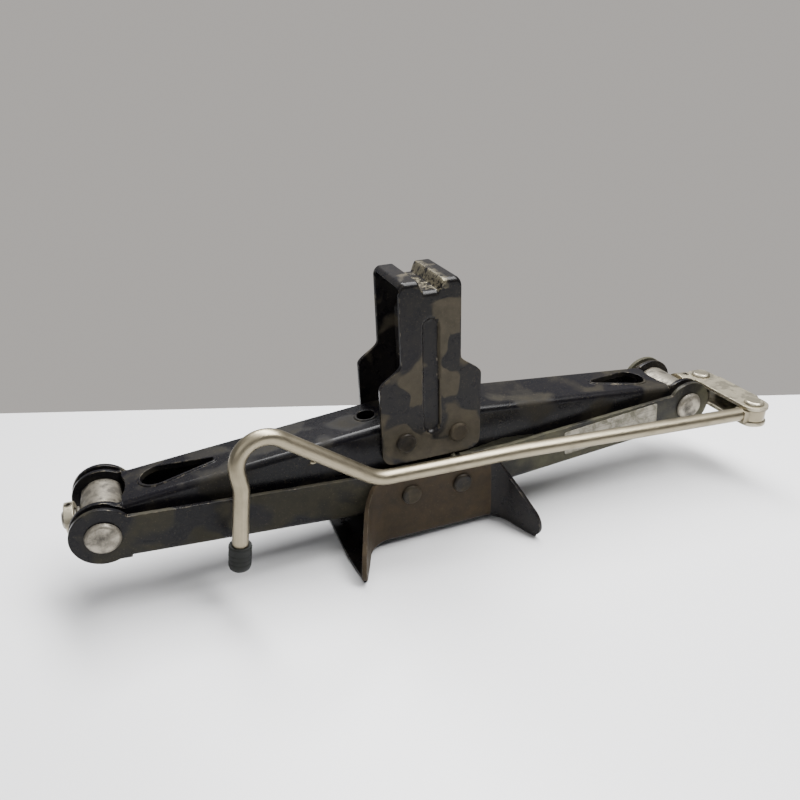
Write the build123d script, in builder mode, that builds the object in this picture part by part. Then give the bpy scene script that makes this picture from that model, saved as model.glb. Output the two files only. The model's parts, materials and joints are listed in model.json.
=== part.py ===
from build123d import *
import math
import os

# A pressed-steel scissor jack for a car, lowered, with its crank folded along the front.
# Millimetres. +X runs along the lifting screw to its crank end, +Y to the back, +Z up.
# The origin is on the ground under the middle of the base.

# ---------------------------------------------------------------- driving dimensions
SHEET = 2.8  # pressed sheet of the arms and brackets
RUNNING_GAP = 0.05  # radial clearance of a pivot in its hole
PIN_PITCH = 34.0  # between the two pivots of a bracket, and the gears' centre distance
BASE_PIN_Z = 36.0
SADDLE_PIN_Z = 68.6
TRUNNION_X = 190.0
FOOT_HALF = 60.0  # half the base's length and half its width over the horns

# The four pressings nest inside each other: half of each one's outer width.
UPPER_ARM_HALF = 18.7
SADDLE_HALF = 22.0
LOWER_ARM_HALF = 25.2
BASE_HALF = 28.6

PIVOT_RADIUS = 5.0  # rivets of the brackets
JOURNAL_RADIUS = 7.0  # ends of the trunnions
SCREW_RADIUS = 6.0
LINK_PIN_RADIUS = 4.0
ROD_RADIUS = 4.5  # crank

PIN_X = PIN_PITCH / 2
TRUNNION_Z = (BASE_PIN_Z + SADDLE_PIN_Z) / 2
ARM_REACH = TRUNNION_X - PIN_X
ARM_RISE = TRUNNION_Z - BASE_PIN_Z
ARM_LENGTH = math.hypot(ARM_REACH, ARM_RISE)
REST_ANGLE = math.degrees(math.atan2(ARM_RISE, ARM_REACH))

os.makedirs("parts", exist_ok=True)


def write(piece, name):
    """Label a finished piece and write it as its own STEP file."""
    piece.part.label = name
    export_step(piece.part, f"parts/{name}.step")


# ---------------------------------------------------------------- gear ends of the arms
TEETH = 14  # as if the gear went all the way round
MODULE = PIN_PITCH / TEETH
PITCH_ANGLE = 360 / TEETH
TIP_RADIUS = PIN_PITCH / 2 + 0.8 * MODULE
ROOT_RADIUS = PIN_PITCH / 2 - 1.05 * MODULE
PRESSURE_ANGLE = math.radians(20)
BASE_CIRCLE = PIN_PITCH / 2 * math.cos(PRESSURE_ANGLE)
FLANK_PLAY = 0.12  # each flank is eased by this much


def involute(angle):
    return math.tan(angle) - angle


def flank_point(radius, side):
    """A point of the tooth's flank, on the tooth that points along +X."""
    half = math.pi / (2 * TEETH) + involute(PRESSURE_ANGLE) - FLANK_PLAY / (PIN_PITCH / 2)
    half -= involute(math.acos(min(1.0, BASE_CIRCLE / radius)))
    return (radius * math.cos(half), side * radius * math.sin(half))


def foot_point(side):
    """Where the radial foot of the flank starts, inside the hub."""
    x, y = flank_point(BASE_CIRCLE, side)
    scale = (ROOT_RADIUS - 1) / BASE_CIRCLE
    return (x * scale, y * scale)


with BuildSketch() as tooth:
    with BuildLine():
        Line(foot_point(-1), flank_point(BASE_CIRCLE, -1))
        ThreePointArc(
            flank_point(BASE_CIRCLE, -1),
            flank_point((BASE_CIRCLE + TIP_RADIUS) / 2, -1),
            flank_point(TIP_RADIUS, -1),
        )
        ThreePointArc(flank_point(TIP_RADIUS, -1), (TIP_RADIUS, 0), flank_point(TIP_RADIUS, 1))
        ThreePointArc(
            flank_point(TIP_RADIUS, 1),
            flank_point((BASE_CIRCLE + TIP_RADIUS) / 2, 1),
            flank_point(BASE_CIRCLE, 1),
        )
        Line(flank_point(BASE_CIRCLE, 1), foot_point(1))
        Line(foot_point(1), foot_point(-1))
    make_face()


# ---------------------------------------------------------------- arms
# Each arm is a channel drawn in its own frame: x from its bracket's pivot to its
# trunnion, y towards the side its web is on. The four frames mirror each other.
EAR_RADIUS = 17.0
FOLD_RADIUS = 4.0
WEB_START = -4.0
WEB_END = 160.5
WEB_END_ARC = 30.0
SLOT_WIDE_X = 140.6
SLOT_WIDE_RADIUS = 9.5
SLOT_TIP_X = 111.0
SLOT_TIP_RADIUS = 2.0
WEB_HOLE_X = 16.5
WEB_HOLE_RADIUS = 5.5
RIM_WIDTH = 1.6
RIM_HEIGHT = 0.8


def arm_plane(side, level):
    """Frame of one arm: side is +1 right or -1 left, level is +1 upper or -1 lower."""
    pin_z = SADDLE_PIN_Z if level > 0 else BASE_PIN_Z
    return Plane(
        origin=(side * PIN_X, 0, pin_z),
        x_dir=(side * ARM_REACH, 0, -level * ARM_RISE),
        z_dir=(0, -side * level, 0),
    )


def flange_face(web, lip, tooth_shift):
    """One flange seen from the side: gear hub, straight run and round ear.

    web and lip are the (pivot end, trunnion end) distances of its two long edges.
    """
    teeth = range(-1, 4) if tooth_shift == 0 else range(-1, 3)
    fairing = Vector(ROOT_RADIUS * 1.25, 0).rotate(Axis.Z, 276)
    with BuildSketch() as face:
        with BuildLine():
            Polyline(
                (0, web[0]),
                (ARM_LENGTH, web[1]),
                (ARM_LENGTH, -lip[1]),
                (34, -lip[0]),
                (fairing.X, fairing.Y),
                (0, 0),
                close=True,
            )
        make_face()
        Circle(ROOT_RADIUS)
        for index in teeth:
            angle = 180 + REST_ANGLE + (index + tooth_shift) * PITCH_ANGLE
            add(tooth.sketch, rotation=angle)
        with BuildLine():
            Polyline(
                (-30, web[0]), (0, web[0]), (WEB_END, web[1]), (WEB_END, 40), (-30, 40), close=True
            )
        make_face(mode=Mode.SUBTRACT)
        with BuildLine():
            Polyline(
                (WEB_START, web[0] - FOLD_RADIUS),
                (WEB_END, web[1] - FOLD_RADIUS),
                (WEB_END, 40),
                (WEB_START, 40),
                close=True,
            )
        make_face(mode=Mode.SUBTRACT)
        with Locations((ARM_LENGTH, 0)):
            Circle(EAR_RADIUS)
            Circle(JOURNAL_RADIUS + RUNNING_GAP, mode=Mode.SUBTRACT)
        Circle(PIVOT_RADIUS + RUNNING_GAP, mode=Mode.SUBTRACT)
    return face.sketch


def arm_channel(plane, half_width, web):
    """The web with its two folds, as a shallow channel."""
    with BuildSketch(plane) as side_view:
        with BuildLine():
            Polyline(
                (WEB_START, web[0]),
                (WEB_END, web[1]),
                (WEB_END, web[1] - FOLD_RADIUS - 1),
                (WEB_START, web[0] - FOLD_RADIUS - 1),
                close=True,
            )
        make_face()
    block = extrude(side_view.sketch, amount=half_width, both=True)
    folds = block.edges().filter_by(
        lambda edge: edge.length > ARM_LENGTH / 2
        and plane.to_local_coords(edge.center()).Y > (web[0] + web[1]) / 2 - 1
    )
    fillet(folds, FOLD_RADIUS)
    with BuildSketch(plane) as hollow:
        with BuildLine():
            Polyline(
                (WEB_START - 1, web[0] - SHEET),
                (WEB_END + 1, web[1] - SHEET),
                (WEB_END + 1, -20),
                (WEB_START - 1, -20),
                close=True,
            )
        make_face()
    extrude(hollow.sketch, amount=half_width - SHEET, both=True, mode=Mode.SUBTRACT)


def web_plane(plane, web):
    """Plane lying in the web's outer face, x along the arm."""
    slope = math.atan2(web[1] - web[0], ARM_LENGTH)
    normal = plane.y_dir * math.cos(slope) - plane.x_dir * math.sin(slope)
    along = plane.x_dir * math.cos(slope) + plane.y_dir * math.sin(slope)
    return Plane(origin=plane.origin + plane.y_dir * web[0], x_dir=along, z_dir=normal)


def web_openings(plane):
    """Teardrop slot and round hole, each with a raised rim."""
    with BuildSketch() as teardrop:
        with BuildLine():
            CenterArc((SLOT_WIDE_X, 0), SLOT_WIDE_RADIUS, 0, 360)
            CenterArc((SLOT_TIP_X, 0), SLOT_TIP_RADIUS, 0, 360)
        make_hull()
    with BuildSketch() as cuts:
        add(teardrop.sketch)
        with Locations((WEB_HOLE_X, 0)):
            Circle(WEB_HOLE_RADIUS)
    with BuildSketch(plane) as rims:
        add(teardrop.sketch)
        offset(amount=RIM_WIDTH)
        with Locations((WEB_HOLE_X, 0)):
            Circle(WEB_HOLE_RADIUS + RIM_WIDTH)
    extrude(rims.sketch, amount=RIM_HEIGHT)
    with BuildSketch(plane.offset(RIM_HEIGHT + 1)) as through:
        add(cuts.sketch)
    extrude(through.sketch, amount=-(SHEET + RIM_HEIGHT + 2), mode=Mode.SUBTRACT)


def arm(side, level, half_width, web, lip):
    """A complete arm; the right-hand one has a tooth on the gears' line of centres."""
    plane = arm_plane(side, level)
    arm_channel(plane, half_width, web)
    face = flange_face(web, lip, 0 if side > 0 else 0.5)
    with BuildSketch(plane.offset(half_width - SHEET), plane.offset(-half_width)) as flanges:
        add(face)
    extrude(flanges.sketch, amount=SHEET, dir=plane.z_dir)
    outside = web_plane(plane, web)
    with BuildSketch(outside.offset(5)) as end_cut:
        with Locations((WEB_END - 2 + WEB_END_ARC, 0)):
            Circle(WEB_END_ARC)
        with Locations((WEB_END + 40, 0)):
            Rectangle(120, 2 * (half_width - SHEET), mode=Mode.INTERSECT)
    extrude(end_cut.sketch, amount=-SHEET - 7, mode=Mode.SUBTRACT)
    if level > 0:
        web_openings(outside)


UPPER_WEB = (13.0, 13.0)
UPPER_LIP = (10.5, 10.5)
LOWER_WEB = (12.8, 15.5)
LOWER_LIP = (14.0, 10.5)

with BuildPart() as upper_right_arm:
    arm(1, 1, UPPER_ARM_HALF, UPPER_WEB, UPPER_LIP)
write(upper_right_arm, "upper_right_arm")

with BuildPart() as upper_left_arm:
    arm(-1, 1, UPPER_ARM_HALF, UPPER_WEB, UPPER_LIP)
write(upper_left_arm, "upper_left_arm")

with BuildPart() as lower_right_arm:
    arm(1, -1, LOWER_ARM_HALF, LOWER_WEB, LOWER_LIP)
write(lower_right_arm, "lower_right_arm")

with BuildPart() as lower_left_arm:
    arm(-1, -1, LOWER_ARM_HALF, LOWER_WEB, LOWER_LIP)
write(lower_left_arm, "lower_left_arm")

# ---------------------------------------------------------------- saddle bracket
SADDLE_TOP_Z = 166.0
SADDLE_BOTTOM_Z = 54.5
SADDLE_NECK_HALF = 18.6
SADDLE_CHEEK_HALF = 31.9
SHOULDER_TOP_Z = 118.7
SHOULDER_BOTTOM_Z = 105.4
CHEEK_CORNER = 8.0
GROOVE_HALF = 7.5  # at the top
GROOVE_FLOOR_HALF = 4.5
GROOVE_DEPTH = 6.2
BEAD_CENTRE_Z = 108.0  # a recess pressed into each plate
BEAD_SIZE = (73.0, 11.0)
BEAD_DEPTH = 1.4
BEAD_BACK_CENTRE_Z = 116.0  # its swelling inside, above the arms' gears
BEAD_BACK_SIZE = (55.0, 10.0)


def saddle_top(drop, overhang):
    """Line over the saddle's top with its cross groove, lowered by the sheet's thickness."""
    top = SADDLE_TOP_Z - drop
    side = SADDLE_NECK_HALF + overhang
    spread = 0.6 * drop
    return [
        (-side, top),
        (-GROOVE_HALF - spread, top),
        (-GROOVE_FLOOR_HALF - spread, top - GROOVE_DEPTH),
        (GROOVE_FLOOR_HALF + spread, top - GROOVE_DEPTH),
        (GROOVE_HALF + spread, top),
        (side, top),
    ]


with BuildPart() as saddle_bracket:
    with BuildSketch(Plane.XZ):
        with BuildLine():
            right = Line((SADDLE_NECK_HALF, SADDLE_TOP_Z - 3), (SADDLE_NECK_HALF, SHOULDER_TOP_Z))
            shoulder = Spline(
                right @ 1, (SADDLE_CHEEK_HALF, SHOULDER_BOTTOM_Z), tangents=((0, -1), (0, -1))
            )
            cheek = Line(shoulder @ 1, (SADDLE_CHEEK_HALF, SADDLE_BOTTOM_Z + CHEEK_CORNER))
            corner = RadiusArc(
                cheek @ 1, (SADDLE_CHEEK_HALF - CHEEK_CORNER, SADDLE_BOTTOM_Z), CHEEK_CORNER
            )
            Line(corner @ 1, (0, SADDLE_BOTTOM_Z))
            Polyline((0, SADDLE_BOTTOM_Z), (0, SADDLE_TOP_Z - 3), right @ 0)
        make_face()
        mirror(about=Plane.YZ)
        with BuildLine():
            Polyline(
                *saddle_top(0, 0),
                (SADDLE_NECK_HALF, SADDLE_TOP_Z - 14),
                (-SADDLE_NECK_HALF, SADDLE_TOP_Z - 14),
                close=True,
            )
        make_face()
        with BuildLine():
            Polyline(*saddle_top(0, 0), (SADDLE_NECK_HALF, 200), (-SADDLE_NECK_HALF, 200), close=True)
        make_face(mode=Mode.SUBTRACT)
    extrude(amount=SADDLE_HALF, both=True)
    crests = saddle_bracket.edges().filter_by(Axis.Y).filter_by(
        lambda edge: edge.center().Z > SADDLE_TOP_Z - GROOVE_DEPTH - 1
    )
    fillet(crests, 2.4)
    rims = saddle_bracket.edges().filter_by(
        lambda edge: abs(abs(edge.center().Y) - SADDLE_HALF) < 0.01
        and edge.center().Z > SADDLE_TOP_Z - GROOVE_DEPTH - 1
    )
    fillet(rims, 2.0)
    with BuildSketch(Plane.XZ):
        with BuildLine():
            Polyline(*saddle_top(SHEET, 30), (60, 0), (-60, 0), close=True)
        make_face()
    extrude(amount=SADDLE_HALF - SHEET, both=True, mode=Mode.SUBTRACT)
    with BuildSketch(
        Plane.XZ.offset(SADDLE_HALF - SHEET - BEAD_DEPTH), Plane.XZ.offset(-SADDLE_HALF + SHEET)
    ):
        with Locations((0, BEAD_BACK_CENTRE_Z)):
            SlotOverall(*BEAD_BACK_SIZE, rotation=90)
    extrude(amount=BEAD_DEPTH)
    with BuildSketch(Plane.XZ.offset(SADDLE_HALF - BEAD_DEPTH), Plane.XZ.offset(-SADDLE_HALF)):
        with Locations((0, BEAD_CENTRE_Z)):
            SlotOverall(*BEAD_SIZE, rotation=90)
    extrude(amount=BEAD_DEPTH, mode=Mode.SUBTRACT)
    for pin_x in (-PIN_X, PIN_X):
        with Locations(Plane(origin=(pin_x, -SADDLE_HALF - 5, SADDLE_PIN_Z), z_dir=(0, -1, 0))):
            Hole(PIVOT_RADIUS)
write(saddle_bracket, "saddle_bracket")

# ---------------------------------------------------------------- base bracket
BASE_TOP_Z = 48.0
WAIST_HALF = 35.0
FLARE_RADIUS = 13.0
FLARE_ANGLE = 66.0
FOOT_TIP_Z = 12.0
WEB_LIFT = 3.5  # the web is raised off the ground between the two feet
FOOT_FLAT = 10.0
RAMP_END_X = 36.0


def base_plan(inset, reach):
    """The base seen from above, with its outer walls moved in by the inset."""
    half = BASE_HALF - inset
    with BuildSketch() as plan:
        with BuildLine():
            waist = Line((0, half), (WAIST_HALF, half))
            flare = JernArc(waist @ 1, (1, 0), FLARE_RADIUS + inset, FLARE_ANGLE)
            tip_y = FOOT_HALF - 2 if inset == 0 else FOOT_HALF + 10
            tip_x = (flare @ 1).X + (tip_y - (flare @ 1).Y) / math.tan(math.radians(FLARE_ANGLE))
            wing = Line(flare @ 1, (tip_x, tip_y))
            Polyline(wing @ 1, (max(reach, tip_x), tip_y - 4), (max(reach, tip_x), 0), (0, 0), (0, half))
        make_face()
        mirror(about=Plane.XZ)
        mirror(about=Plane.YZ)
    return plan.sketch


def ground_line(lift):
    """Side view of the web: on the ground at both feet, raised between them."""
    return [
        (-FOOT_HALF - 20, lift),
        (-FOOT_HALF + FOOT_FLAT, lift),
        (-RAMP_END_X, WEB_LIFT + lift),
        (RAMP_END_X, WEB_LIFT + lift),
        (FOOT_HALF - FOOT_FLAT, lift),
        (FOOT_HALF + 20, lift),
    ]


with BuildPart() as base_hollow:
    with BuildSketch():
        add(base_plan(SHEET, FOOT_HALF + 20))
    extrude(amount=BASE_TOP_Z + 10)
    with BuildSketch(Plane.XZ):
        with BuildLine():
            Polyline(*ground_line(SHEET), (FOOT_HALF + 20, 80), (-FOOT_HALF - 20, 80), close=True)
        make_face()
    extrude(amount=2 * FOOT_HALF, both=True, mode=Mode.INTERSECT)

with BuildPart() as base_bracket:
    with BuildSketch():
        add(base_plan(0, FOOT_HALF))
    extrude(amount=BASE_TOP_Z)
    with BuildSketch(Plane.XZ):
        with BuildLine():
            Polyline(
                *ground_line(0)[1:5],
                (FOOT_HALF, 0),
                (FOOT_HALF, FOOT_TIP_Z),
                (FOOT_HALF - 2, FOOT_TIP_Z + 4),
                (WAIST_HALF + 6, BASE_TOP_Z),
                (-WAIST_HALF - 6, BASE_TOP_Z),
                (-FOOT_HALF + 2, FOOT_TIP_Z + 4),
                (-FOOT_HALF, FOOT_TIP_Z),
                (-FOOT_HALF, 0),
                close=True,
            )
        make_face()
    extrude(amount=2 * FOOT_HALF, both=True, mode=Mode.INTERSECT)
    add(base_hollow.part, mode=Mode.SUBTRACT)
    for pin_x in (-PIN_X, PIN_X):
        with Locations(Plane(origin=(pin_x, -BASE_HALF - 5, BASE_PIN_Z), z_dir=(0, -1, 0))):
            Hole(PIVOT_RADIUS)
write(base_bracket, "base_bracket")

# ---------------------------------------------------------------- pivot rivets
RIVET_HEAD_RADIUS = 6.2
RIVET_HEAD_HEIGHT = 2.2


def pin_profile(shank, grip, head, height):
    """Half section of a two-headed pin: local x is the radius, local y the length."""
    flat = head - 0.8 * height
    with BuildSketch() as profile:
        with BuildLine():
            Polyline((0, grip + height), (0, -grip - height), (flat, -grip - height))
            RadiusArc((flat, -grip - height), (head, -grip), -1.3 * height)
            Polyline((head, -grip), (shank, -grip), (shank, grip), (head, grip))
            RadiusArc((head, grip), (flat, grip + height), -1.3 * height)
            Line((flat, grip + height), (0, grip + height))
        make_face()
    return profile.sketch


def cross_rivets(pin_z, grip):
    """The bracket's two rivets, across its whole width."""
    for pin_x in (-PIN_X, PIN_X):
        with BuildSketch(Plane(origin=(pin_x, 0, pin_z), z_dir=(0, 0, 1))) as section:
            add(pin_profile(PIVOT_RADIUS, grip, RIVET_HEAD_RADIUS, RIVET_HEAD_HEIGHT))
        revolve(section.sketch, axis=Axis((pin_x, 0, pin_z), (0, 1, 0)))


with BuildPart() as base_pivot_rivets:
    cross_rivets(BASE_PIN_Z, BASE_HALF)
write(base_pivot_rivets, "base_pivot_rivets")

with BuildPart() as saddle_pivot_rivets:
    cross_rivets(SADDLE_PIN_Z, SADDLE_HALF)
write(saddle_pivot_rivets, "saddle_pivot_rivets")

# ---------------------------------------------------------------- trunnions
TRUNNION_RADIUS = 12.5
TRUNNION_FLAT = 11.0  # from its axis to the flat that the screw's bore leaves through
TRUNNION_BODY_HALF = 15.5
TRUNNION_HEAD_RADIUS = 9.5
TRUNNION_HEAD_HEIGHT = 2.6
WASHER_RADIUS = 12.0
WASHER_GAP = 0.1


def trunnion(side):
    """Cross pin through all four ears, with the screw's bore and a flat round each mouth."""
    centre = (side * TRUNNION_X, 0, TRUNNION_Z)
    grip = LOWER_ARM_HALF + 0.2
    with BuildSketch(Plane(origin=centre, z_dir=(0, 0, 1))) as section:
        add(pin_profile(JOURNAL_RADIUS, grip, TRUNNION_HEAD_RADIUS, TRUNNION_HEAD_HEIGHT))
    revolve(section.sketch, axis=Axis(centre, (0, 1, 0)))
    with BuildSketch(Plane(origin=centre, x_dir=(1, 0, 0), z_dir=(0, -1, 0))) as body:
        Circle(TRUNNION_RADIUS)
        Rectangle(2 * TRUNNION_FLAT, 2 * TRUNNION_RADIUS, mode=Mode.INTERSECT)
    extrude(body.sketch, amount=TRUNNION_BODY_HALF, both=True)
    with Locations(Plane(origin=(centre[0] + 30, 0, TRUNNION_Z), z_dir=(1, 0, 0))):
        Hole(SCREW_RADIUS + RUNNING_GAP)


def trunnion_washers(side):
    """Spacers that fill the gap between the upper arm's ears and the lower arm's."""
    gap = LOWER_ARM_HALF - SHEET - UPPER_ARM_HALF - 2 * WASHER_GAP
    for start_y in (UPPER_ARM_HALF + WASHER_GAP, -UPPER_ARM_HALF - WASHER_GAP - gap):
        seat = Plane(origin=(side * TRUNNION_X, start_y, TRUNNION_Z), z_dir=(0, 1, 0))
        with BuildSketch(seat) as washer:
            Circle(WASHER_RADIUS)
            Circle(JOURNAL_RADIUS, mode=Mode.SUBTRACT)
        extrude(washer.sketch, amount=gap)


with BuildPart() as nut_trunnion:
    trunnion(-1)
write(nut_trunnion, "nut_trunnion")

with BuildPart() as thrust_trunnion:
    trunnion(1)
write(thrust_trunnion, "thrust_trunnion")

with BuildPart() as nut_spacer_washers:
    trunnion_washers(-1)
write(nut_spacer_washers, "nut_spacer_washers")

with BuildPart() as thrust_spacer_washers:
    trunnion_washers(1)
write(thrust_spacer_washers, "thrust_spacer_washers")

# ---------------------------------------------------------------- lifting screw
STOP_START_X = -209.0
STOP_LENGTH = 5.0
THRUST_WASHER_LENGTH = 2.9
COLLAR_LENGTH = 7.4
COLLAR_RADIUS = 10.5
ROLL_PIN_RADIUS = 2.0
ROLL_PIN_HOLE_START = 20.0
LINK_PIN_X = 222.0
LINK_LENGTH = 50.0
EYE_RADIUS = 8.0
EYE_HALF_THICKNESS = 4.0
NECK_WIDTH = 12.0

washer_x = TRUNNION_X + TRUNNION_FLAT + 0.1
collar_x = washer_x + THRUST_WASHER_LENGTH
neck_length = LINK_PIN_X - collar_x - COLLAR_LENGTH
collar_pin_x = collar_x + COLLAR_LENGTH / 2
stop_pin_x = STOP_START_X + STOP_LENGTH / 2


def screw_section(x):
    """Plane square to the screw at a given place along it."""
    return Plane(origin=(x, 0, TRUNNION_Z), x_dir=(0, 1, 0), z_dir=(1, 0, 0))


def ring_on_screw(x, length, radius):
    with BuildSketch(screw_section(x)) as ring:
        Circle(radius)
        Circle(SCREW_RADIUS, mode=Mode.SUBTRACT)
    extrude(ring.sketch, amount=length)


def roll_pin_hole(x, radius):
    with Locations(Plane(origin=(x, 0, TRUNNION_Z + ROLL_PIN_HOLE_START), z_dir=(0, 0, 1))):
        Hole(radius, depth=2 * ROLL_PIN_HOLE_START)


def roll_pin(x, half_length):
    """Slotted spring pin, upright through the screw."""
    with BuildSketch(Plane(origin=(x, 0, TRUNNION_Z - half_length), z_dir=(0, 0, 1))) as section:
        Circle(ROLL_PIN_RADIUS)
        Circle(ROLL_PIN_RADIUS - 0.7, mode=Mode.SUBTRACT)
        with Locations((ROLL_PIN_RADIUS, 0)):
            Rectangle(2 * ROLL_PIN_RADIUS, 0.6, mode=Mode.SUBTRACT)
    extrude(section.sketch, amount=2 * half_length)


with BuildPart() as lead_screw:
    with BuildSketch(screw_section(STOP_START_X - 2)):
        Circle(SCREW_RADIUS)
    extrude(amount=collar_x + COLLAR_LENGTH - STOP_START_X + 2)
    chamfer(lead_screw.edges().group_by(Axis.X)[0], 1)
    with BuildSketch(Plane.XY.offset(TRUNNION_Z)):
        with Locations((LINK_PIN_X, 0)):
            Circle(EYE_RADIUS)
        with Locations((LINK_PIN_X - neck_length / 2, 0)):
            Rectangle(neck_length, NECK_WIDTH)
    extrude(amount=EYE_HALF_THICKNESS, both=True)
    with Locations(Plane(origin=(LINK_PIN_X, 0, TRUNNION_Z + 20), z_dir=(0, 0, 1))):
        Hole(LINK_PIN_RADIUS + RUNNING_GAP)
    roll_pin_hole(stop_pin_x, ROLL_PIN_RADIUS)
    roll_pin_hole(collar_pin_x, ROLL_PIN_RADIUS)
write(lead_screw, "lead_screw")

with BuildPart() as screw_stop:
    ring_on_screw(STOP_START_X, STOP_LENGTH, COLLAR_RADIUS - 1)
    roll_pin_hole(stop_pin_x, ROLL_PIN_RADIUS)
write(screw_stop, "screw_stop")

with BuildPart() as stop_roll_pin:
    roll_pin(stop_pin_x, COLLAR_RADIUS - 1)
write(stop_roll_pin, "stop_roll_pin")

with BuildPart() as thrust_washer:
    ring_on_screw(washer_x, THRUST_WASHER_LENGTH, COLLAR_RADIUS + 0.5)
write(thrust_washer, "thrust_washer")

with BuildPart() as thrust_collar:
    ring_on_screw(collar_x, COLLAR_LENGTH, COLLAR_RADIUS)
    chamfer(thrust_collar.edges().group_by(Axis.X)[-1].sort_by(SortBy.RADIUS)[-1], 1)
    roll_pin_hole(collar_pin_x, ROLL_PIN_RADIUS)
write(thrust_collar, "thrust_collar")

with BuildPart() as collar_roll_pin:
    roll_pin(collar_pin_x, COLLAR_RADIUS)
write(collar_roll_pin, "collar_roll_pin")

# ---------------------------------------------------------------- drive link
LINK_SHEET = 2.5
LINK_CLEARANCE = 0.3
LINK_END_RADIUS = 9.0
LINK_WEB_X = 9.0  # from the line of its pins to its web's inner face
link_half_height = EYE_HALF_THICKNESS + LINK_CLEARANCE + LINK_SHEET

with BuildPart() as drive_link:
    with BuildSketch(Plane.XY.offset(TRUNNION_Z)):
        with Locations((LINK_PIN_X, -LINK_LENGTH / 2)):
            SlotCenterToCenter(LINK_LENGTH, 2 * LINK_END_RADIUS, rotation=90)
        with Locations((LINK_PIN_X + (LINK_WEB_X + LINK_SHEET) / 2, -LINK_LENGTH / 2)):
            Rectangle(LINK_WEB_X + LINK_SHEET, LINK_LENGTH - 14)
    extrude(amount=link_half_height, both=True)
    with BuildSketch(Plane.XY.offset(TRUNNION_Z)):
        with Locations((LINK_PIN_X + LINK_WEB_X - 30, -LINK_LENGTH / 2)):
            Rectangle(60, LINK_LENGTH + 40)
    extrude(amount=link_half_height - LINK_SHEET, both=True, mode=Mode.SUBTRACT)
    fillet(
        drive_link.edges().filter_by(Axis.Y).group_by(Axis.X)[-1],
        LINK_SHEET * 0.8,
    )
    for pin_y in (0, -LINK_LENGTH):
        with Locations(Plane(origin=(LINK_PIN_X, pin_y, TRUNNION_Z + 20), z_dir=(0, 0, 1))):
            Hole(LINK_PIN_RADIUS)
write(drive_link, "drive_link")


def upright_pin(pin_y):
    """Headed pin through the link's two plates."""
    centre = (LINK_PIN_X, pin_y, TRUNNION_Z)
    with BuildSketch(Plane(origin=centre, x_dir=(1, 0, 0), z_dir=(0, -1, 0))) as section:
        add(pin_profile(LINK_PIN_RADIUS, link_half_height, 6.4, 2.2))
    revolve(section.sketch, axis=Axis(centre, (0, 0, 1)))


with BuildPart() as screw_link_pin:
    upright_pin(0)
write(screw_link_pin, "screw_link_pin")

with BuildPart() as crank_link_pin:
    upright_pin(-LINK_LENGTH)
write(crank_link_pin, "crank_link_pin")

# ---------------------------------------------------------------- crank
CRANK_EYE = Vector(LINK_PIN_X, -LINK_LENGTH, TRUNNION_Z)
CRANK_CORNERS = [
    Vector(50, -41, 57.6),
    Vector(-41.5, -40, 60.2),
    Vector(-121.5, -41.5, 119.5),
    Vector(-117.2, -45.5, 76.4),
]
CRANK_TIP = Vector(-124.4, -46, 29)
CRANK_RADII = [60, 24, 15.5, 10]
ROD_START = 10.0  # the round rod starts this far from its eye's centre
CAP_RADIUS = 6.3
CAP_LENGTH = 16.0
CAP_FLOOR = 2.2

first_run = (CRANK_CORNERS[0] - CRANK_EYE).normalized()
rod_start = CRANK_EYE + first_run * ROD_START
tip_run = (CRANK_TIP - CRANK_CORNERS[-1]).normalized()

with BuildPart() as crank_rod:
    with BuildLine() as rod_path:
        FilletPolyline(rod_start, *CRANK_CORNERS, CRANK_TIP, radius=CRANK_RADII)
    with BuildSketch(Plane(origin=rod_start, z_dir=first_run)):
        Circle(ROD_RADIUS)
    sweep(path=rod_path.line)
    with BuildSketch(Plane.XY.offset(TRUNNION_Z)):
        with Locations((LINK_PIN_X, -LINK_LENGTH)):
            Circle(EYE_RADIUS)
        with Locations((LINK_PIN_X - 8, -LINK_LENGTH)):
            Rectangle(16, 2 * ROD_RADIUS)
    extrude(amount=EYE_HALF_THICKNESS, both=True)
    with Locations(Plane(origin=(LINK_PIN_X, -LINK_LENGTH, TRUNNION_Z + 20), z_dir=(0, 0, 1))):
        Hole(LINK_PIN_RADIUS + RUNNING_GAP)
write(crank_rod, "crank_rod")

with BuildPart() as grip_cap:
    cap_end = Plane(origin=CRANK_TIP + tip_run * CAP_FLOOR, z_dir=-tip_run)
    with BuildSketch(cap_end):
        Circle(CAP_RADIUS)
    extrude(amount=CAP_LENGTH)
    fillet(grip_cap.edges().sort_by(Axis.Z)[0], 3.5)
    fillet(grip_cap.edges().sort_by(Axis.Z)[-1], 1.5)
    with BuildSketch(cap_end.offset(CAP_FLOOR)):
        Circle(ROD_RADIUS)
    extrude(amount=CAP_LENGTH, mode=Mode.SUBTRACT)
write(grip_cap, "grip_cap")

# ---------------------------------------------------------------- rating label
LABEL_SIZE = (72.0, 17.0)
LABEL_CENTRE = (111.5, -1.3)
LABEL_THICKNESS = 0.4

with BuildPart() as rating_label:
    label_plane = arm_plane(1, -1)
    with BuildSketch(label_plane.offset(-LOWER_ARM_HALF)):
        with Locations(LABEL_CENTRE):
            RectangleRounded(*LABEL_SIZE, 1.5)
    extrude(amount=-LABEL_THICKNESS)
write(rating_label, "rating_label")
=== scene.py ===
"""Scissor car jack: pressings, screw, crank and label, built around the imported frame."""

import json
import logging
import math
from dataclasses import dataclass
from enum import Enum
from typing import ClassVar

import bmesh
import bpy
from mathutils import Matrix, Vector
from mathutils.bvhtree import BVHTree


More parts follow.
